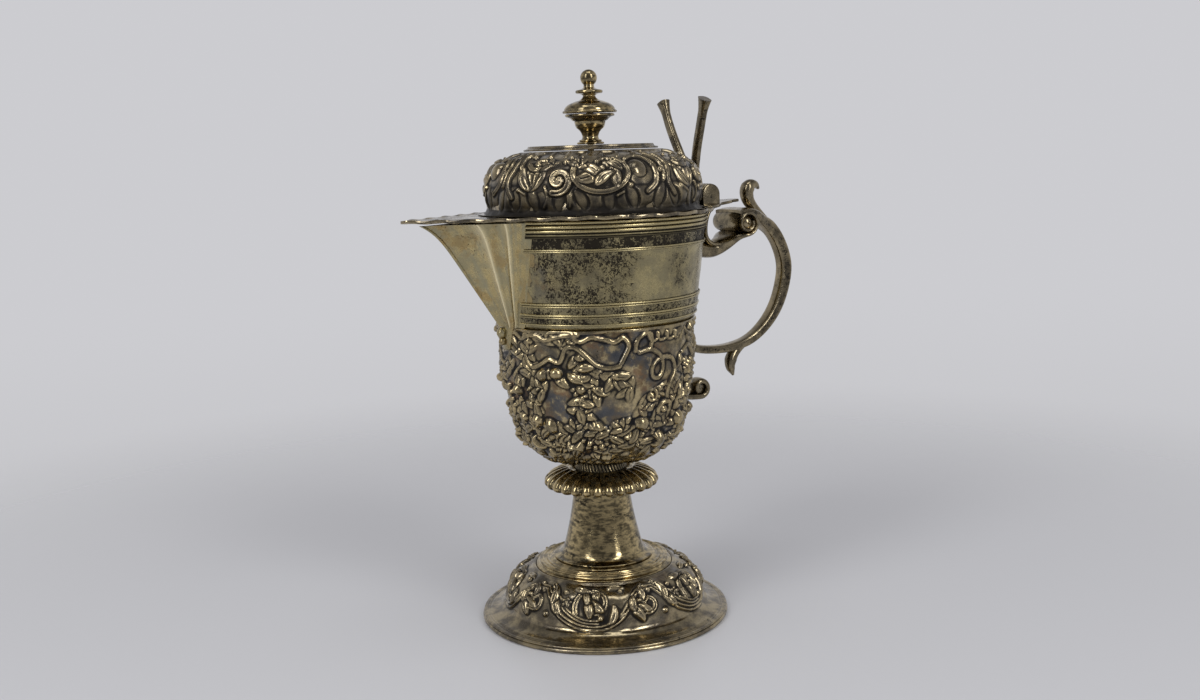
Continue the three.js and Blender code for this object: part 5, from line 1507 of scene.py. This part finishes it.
lid = {
    "flangeR": 57.0,
    "beak": 95.0,
    "beakTipR": 5.0,
    "scallops": 30,
    "scallop": 0.9,
    "backX": 54.0,
    "seed": 7,
    "sheetR": 50,
    "panels": 4,
    "rise": 1.7,
    "sink": 0.9,
    "darkFoot": 17.0,
    "flareFoot": 0.75,  # share of the flare that stays free of chasing
    # places in mm from a panel's middle and up from the plate: swellings with half width and half height
    "swellings": ((-29, 13.0, 6.0), (-5, 12.0, 5.4), (17, 12.0, 6.4), (36, 9.0, 5.0)),
    "lines": (
        ((-46, 1.5), (-44, 6), (-45.5, 11)),
        ((-34.5, 1.5), (-33.5, 6), (-31, 10), (-33, 17)),
        ((-16, 1.5), (-14, 6), (-9, 9), (-8.5, 13)),
        ((4, 1.5), (5, 6), (8.5, 10), (10.5, 16), (10, 23), (5, 28.5)),
        ((27, 1.5), (25, 6), (20, 9.5)),
    ),
    # with turn, length, width and bow
    "leaves": (
        (-30, 14, 0.1, 13, 6.5, 0.9),
        (-28, 21, -0.3, 11, 5.5, -0.9),
        (-14, 11.5, 1.3, 9, 5.0, 0.9),
        (-22, 12, 1.0, 9, 5.0, -0.8),
        (-11, 19, 2.2, 7, 4.0, 0.7),
    ),
    # with width, share of the rise and ends
    "scrolls": (
        (((-7.2, 25.5), (-2, 28), (3.6, 25), (6.4, 18.5), (5, 11.5), (0.5, 7.5)), 1.2, 0.95, (0.8, 1)),
        (((9, 34), (13, 27.5), (14.5, 20), (12.5, 12), (15.5, 6)), 1.1, 0.9, (1, 1)),
        (((20, 33), (17, 27), (18.2, 20.5), (22.5, 16.5)), 1.0, 0.9, (0.7, 1)),
    ),
    "beads": ((-37, 24, 1.5), (-34.5, 27, 1.2), (-9, 22, 1.4), (-7.5, 10.5, 1.2), (9, 17.5, 1.5),
              (31, 29, 1.3), (22, 28.5, 1.3), (19.5, 9.5, 1.2)),
}


def plateEdge(count):
    # round flange drawn out to a beak, with even steps round its edge
    tip = lid["beakTipR"] - lid["beak"]
    big, small = lid["flangeR"] - lid["scallop"], lid["beakTipR"] - lid["scallop"]
    lean = math.acos((big - small) / -tip)

    def ring(x, radius, a, b):
        return [(x + radius * math.cos(k), radius * math.sin(k)) for k in np.linspace(a, b, 200)]

    edge = ring(tip, small, math.pi, math.pi + lean) + ring(0, big, math.pi + lean, 3 * math.pi - lean)
    edge += ring(tip, small, math.pi - lean, math.pi)
    return evenly(edge, count + 1)[:-1]


def chaseLid(sheet, draw):
    # smooth swellings below, scrolls and leaf masses above, four times round
    big, width = lid["rise"], sheet["length"] / lid["panels"]
    for k in range(lid["panels"]):
        u = k * width
        for a, half, high in lid["swellings"]:
            dab(sheet, u + a, 5.0, half, high, big * 0.75, 0.1, 0.9)
        for path in lid["lines"]:
            stroke(sheet, through([(u + a, b) for a, b in path], 40), 0.6, big, 0.5, (1.2, 0.8))
        for a in np.linspace(-0.5, 0.5, 8)[:-1]:  # soft leaves that rise from the plate
            lean = draw.uniform(-0.35, 0.35)
            long = draw.uniform(7, 10)
            blade(sheet, u + a * width, 1.6, math.pi / 2 + lean, long, 5.6, big * 0.45, lean, 0.0)
        volute(sheet, u - 39.2, 13.5, 6.0, 1.5, -2.0, 1, 1.7, big * 1.25)
        a = np.linspace(2.4, 7.7, 60)
        oval = np.stack([u - 20.5 + 12.5 * np.cos(a), 17.5 + 9.6 * np.sin(a)], 1)
        ribbon(sheet, oval, 1.2, big * 0.9, (1.1, 0.8))
        volute(sheet, u - 17.5, 22.5, 4.6, 1.1, 2.9, -1, 1.1, big)
        for a, b, turn, long, wide, bow in lid["leaves"]:
            blade(sheet, u + a, b, turn, long, wide, big * 0.85, bow)
        dab(sheet, u - 2.8, 19.5, 4.6, 5.4, big * 1.1, 0.3, 0.7)  # boss in an upright scroll
        for path, wide, share, ends in lid["scrolls"]:
            ribbon(sheet, through([(u + a, b) for a, b in path], 60), wide, big * share, ends)
        for turn, bow in ((0.5, 0.7), (1.1, 0.3), (1.7, -0.3), (2.4, -0.8)):
            blade(sheet, u + 24.5, 10.0, turn, 11.0, 5.4, big * 0.9, bow)
        volute(sheet, u + 27.5, 23.5, 5.2, 1.3, 3.4, 1, 1.2, big)
        for a, turn in ((34, 2.2), (-31.5, 1.2)):
            spray(sheet, u + a, 21.5, turn, 6.5, big * 0.8, 2.4)
        for a, b, size in lid["beads"]:
            dab(sheet, u + a, b, size, size, big)
        for a in np.linspace(-0.5, 0.5, 9)[:-1]:  # ribs that run up to the cap
            blade(sheet, u + a * width + draw.uniform(-0.6, 0.6), 28.5, 1.2, 8.5, 2.6, big * 0.55, 0.6, 0.3)


def makePlate():
    count, top, holeR = 720, plate["topZ"], 45.7
    edge = plateEdge(count)
    along = np.roll(edge, -1, 0) - np.roll(edge, 1, 0)
    along /= np.linalg.norm(along, axis=1)[:, None]
    out = np.stack([along[:, 1], -along[:, 0]], 1)
    phase = np.arange(count) / count * lid["scallops"]
    edge = edge + out * (lid["scallop"] * np.abs(np.cos(math.pi * phase)) ** 0.7)[:, None]
    turn = np.arctan2(edge[:, 1], edge[:, 0])
    inner = holeR * np.stack([np.cos(turn), np.sin(turn)], 1)
    wave = 0.25 * np.sin(2 * math.pi * phase)
    rows = []

    def addRow(flat, height):
        rows.append(np.concatenate([flat, height[:, None]], 1))

    def waving(share):
        return wave * np.clip((share - 0.7) / 0.3, 0, 1) ** 2

    engraved = (0.58, 0.66)
    shares = [0, 0.3, 0.52, 0.56, 0.58, 0.6, 0.64, 0.66, 0.68, 0.74, 0.8, 0.86, 0.9, 0.93, 0.95, 0.97, 0.985]
    for share in shares:
        lift = 0.35 * np.clip((share - 0.9) / 0.06, 0, 1) + waving(share) - 0.25 * (share in engraved)
        addRow(inner + (edge - inner) * share, top - 0.2 + lift)
    for lift, back in ((0.1, 0.12), (-0.35, 0.0), (-0.8, 0.0), (-1.2, 0.15)):
        addRow(edge - out * back, top + lift + wave)
    for share in (0.96, 0.9, 0.8, 0.6, 0.3, 0):
        addRow(inner + (edge - inner) * share, plate["lowZ"] + waving(share))
    rows = np.array(rows)
    rows[:, :, 0] = np.minimum(rows[:, :, 0], lid["backX"])
    piece = gridPiece("lidPlate", rows, closeAlong=True)
    markPiece(piece, "hollow", 0.3)
    fit(piece, "lid", "lid_silver", "lid_plate", angle=50)


def makeDome():
    side = curve((54.0, 196.1), (50.9, 196.3), (50.4, 199.4), 60)[:-1]
    flare = int(runOf(side)[-1] * sheetGrain * lid["flareFoot"])
    side += curve((50.4, 199.4), (50.8, 203.0), (51.4, 206.6), 60)[:-1]
    side += curve((51.4, 206.6), (50.8, 213.2), (46.9, 217.6), 60)[:-1]
    side = evenly(side + curve((46.9, 217.6), (42.6, 221.9), (33.0, 223.9), 60), 106).tolist()
    line = side + [(28, 223.9), (12, 223.9), (1.9, 223.9)]
    inner = [(1.9, 222.9), (32, 222.9)] + curve((33, 222.6), (42, 220.6), (45.6, 216.6), 5)
    inner += curve((46.6, 215), (49.6, 211.6), (49.8, 206.6), 4) + [(49.6, 196.1)]
    piece = wrapPiece("lidDome", line + inner, 800)
    sheet = newSheet(2 * math.pi * lid["sheetR"], runOf(side)[-1] - 0.6)
    draw = np.random.default_rng(lid["seed"])
    chaseLid(sheet, draw)
    for layer in ("h", "cut"):  # the chasing begins above the flare
        sheet[layer] = np.roll(sheet[layer], flare, 0)
        sheet[layer][:flare] = 0
    closeSheet(sheet, draw, lid["sink"], deep=0.6, filmed=0.35, hammer=0.3)
    # painted shade: darker towards the foot of the dome, with dimmer crests there, and crests above it lit
    # up further as a painted highlight
    shade = np.clip(1 - np.arange(sheet["rows"]) / sheetGrain / lid["darkFoot"], 0, 1)[:, None]
    sheet["hollow"] = np.clip(sheet["hollow"] + 0.9 * shade ** 0.6, 0, 1)
    sheet["crest"] = sheet["crest"] * (1.2 - 0.45 * shade)
    chase(piece, line, sheet, 0.3)
    fit(piece, "lid", "lid_silver", "lid_dome")


def makeLid():
    makePlate()
    bezel = [(49.4, 188.1), (50.0, 188.1)] + curve((50.2, 188.3), (50.6, 190), (50.6, 191.5), 6)
    bezel += [(50.6, 194.1), (49.4, 194.1)]
    fit(spinPiece("lidBezel", bezel), "lid", "lid_silver", "lid_bezel", angle=40)

    makeDome()
    cap = [(1.9, 224.2), (31.3, 224.2)] + arc(31.1, 224.6, 0.4, -60, 80, 6) + [(30.4, 225.1), (29.6, 225.5)]
    cap += arc(29.0, 226.0, 0.4, 0, 100, 5)
    cap += [(28.4, 226.3), (27.9, 226.15), (27.4, 226.35), (26.2, 226.4), (1.9, 226.4)]
    piece = spinPiece("lidCap", cap)
    markPiece(piece, "hollow", 0.45)
    fit(piece, "lid", "lid_silver", "lid_cap", angle=40)
    print("lid made")


# finial

finial = {"vaseZ": 226.7, "knopZ": 241.0, "ballR": 3.9, "boreR": 1.9}


def makeFinial():
    z, bore = finial["vaseZ"], finial["boreR"]
    vase = [(bore, z), (6.0, z)] + arc(5.9, z + 0.55, 0.5, -80, 80, 7)
    vase += [(5.3, z + 1.3)] + arc(4.9, z + 1.7, 0.4, -60, 80, 5)
    vase += curve((4.4, z + 2.2), (3.6, z + 2.8), (3.8, z + 3.8), 8)
    vase += curve((3.9, z + 4.2), (4.4, z + 6.2), (6.2, z + 7.4), 10)
    vase += curve((6.5, z + 7.7), (7.2, z + 9.2), (7.3, z + 10.6), 8) + [(8.0, z + 10.9)]
    vase += curve((8.3, z + 11.0), (9.2, z + 12.4), (11.0, z + 12.7), 8)
    vase += arc(11.0, z + 13.35, 0.6, -80, 80, 8) + [(bore, z + 14)]
    fit(spinPiece("finialVase", vase, 128), "lid", "bright_gilt", "finial_vase", angle=45)

    z = finial["knopZ"]
    top = z + 6
    knop = [(bore, z), (11.9, z)] + arc(12.1, z + 0.65, 0.65, -80, 70, 8)
    knop += curve((12.0, z + 1.4), (11.4, z + 3.9), (7.8, top - 1), 16) + [(7.2, top - 0.75)]
    knop += curve((6.8, top - 0.6), (3.6, top), (2.9, top + 1.8), 10)
    knop += curve((2.9, top + 2.0), (3.4, top + 2.8), (5.4, top + 3), 6)
    knop += arc(5.6, top + 3.8, 0.8, -80, 75, 9)
    knop += curve((5.3, top + 4.7), (3.4, top + 5.0), (2.5, top + 5.8), 8)
    knop += arc(0, top + 6.2 + finial["ballR"], finial["ballR"], -52, 90, 30)
    knop[-1] = (0, knop[-1][1])
    knop += [(0, z + 5.3), (bore, z + 5.3)]
    fit(spinPiece("finialKnop", knop, 128), "lid", "bright_gilt", "finial_knop", angle=45)
    print("finial made")


def finishInside():
    kinds = ("washer", "nut", "stud")
    for name in ["hinge_pin"] + [owner + "_" + kind for owner in ("stem", "finial") for kind in kinds]:
        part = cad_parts[name]
        part.data.materials.clear()
        part.data.materials.append(metals["inner_brass"])
    print("inner fittings finished")


makeFoot()
makeStem()
makeBowl()
makeWall()
makeSpout()
makeHandle()
makeHinge()
makeLid()
makeFinial()
finishInside()
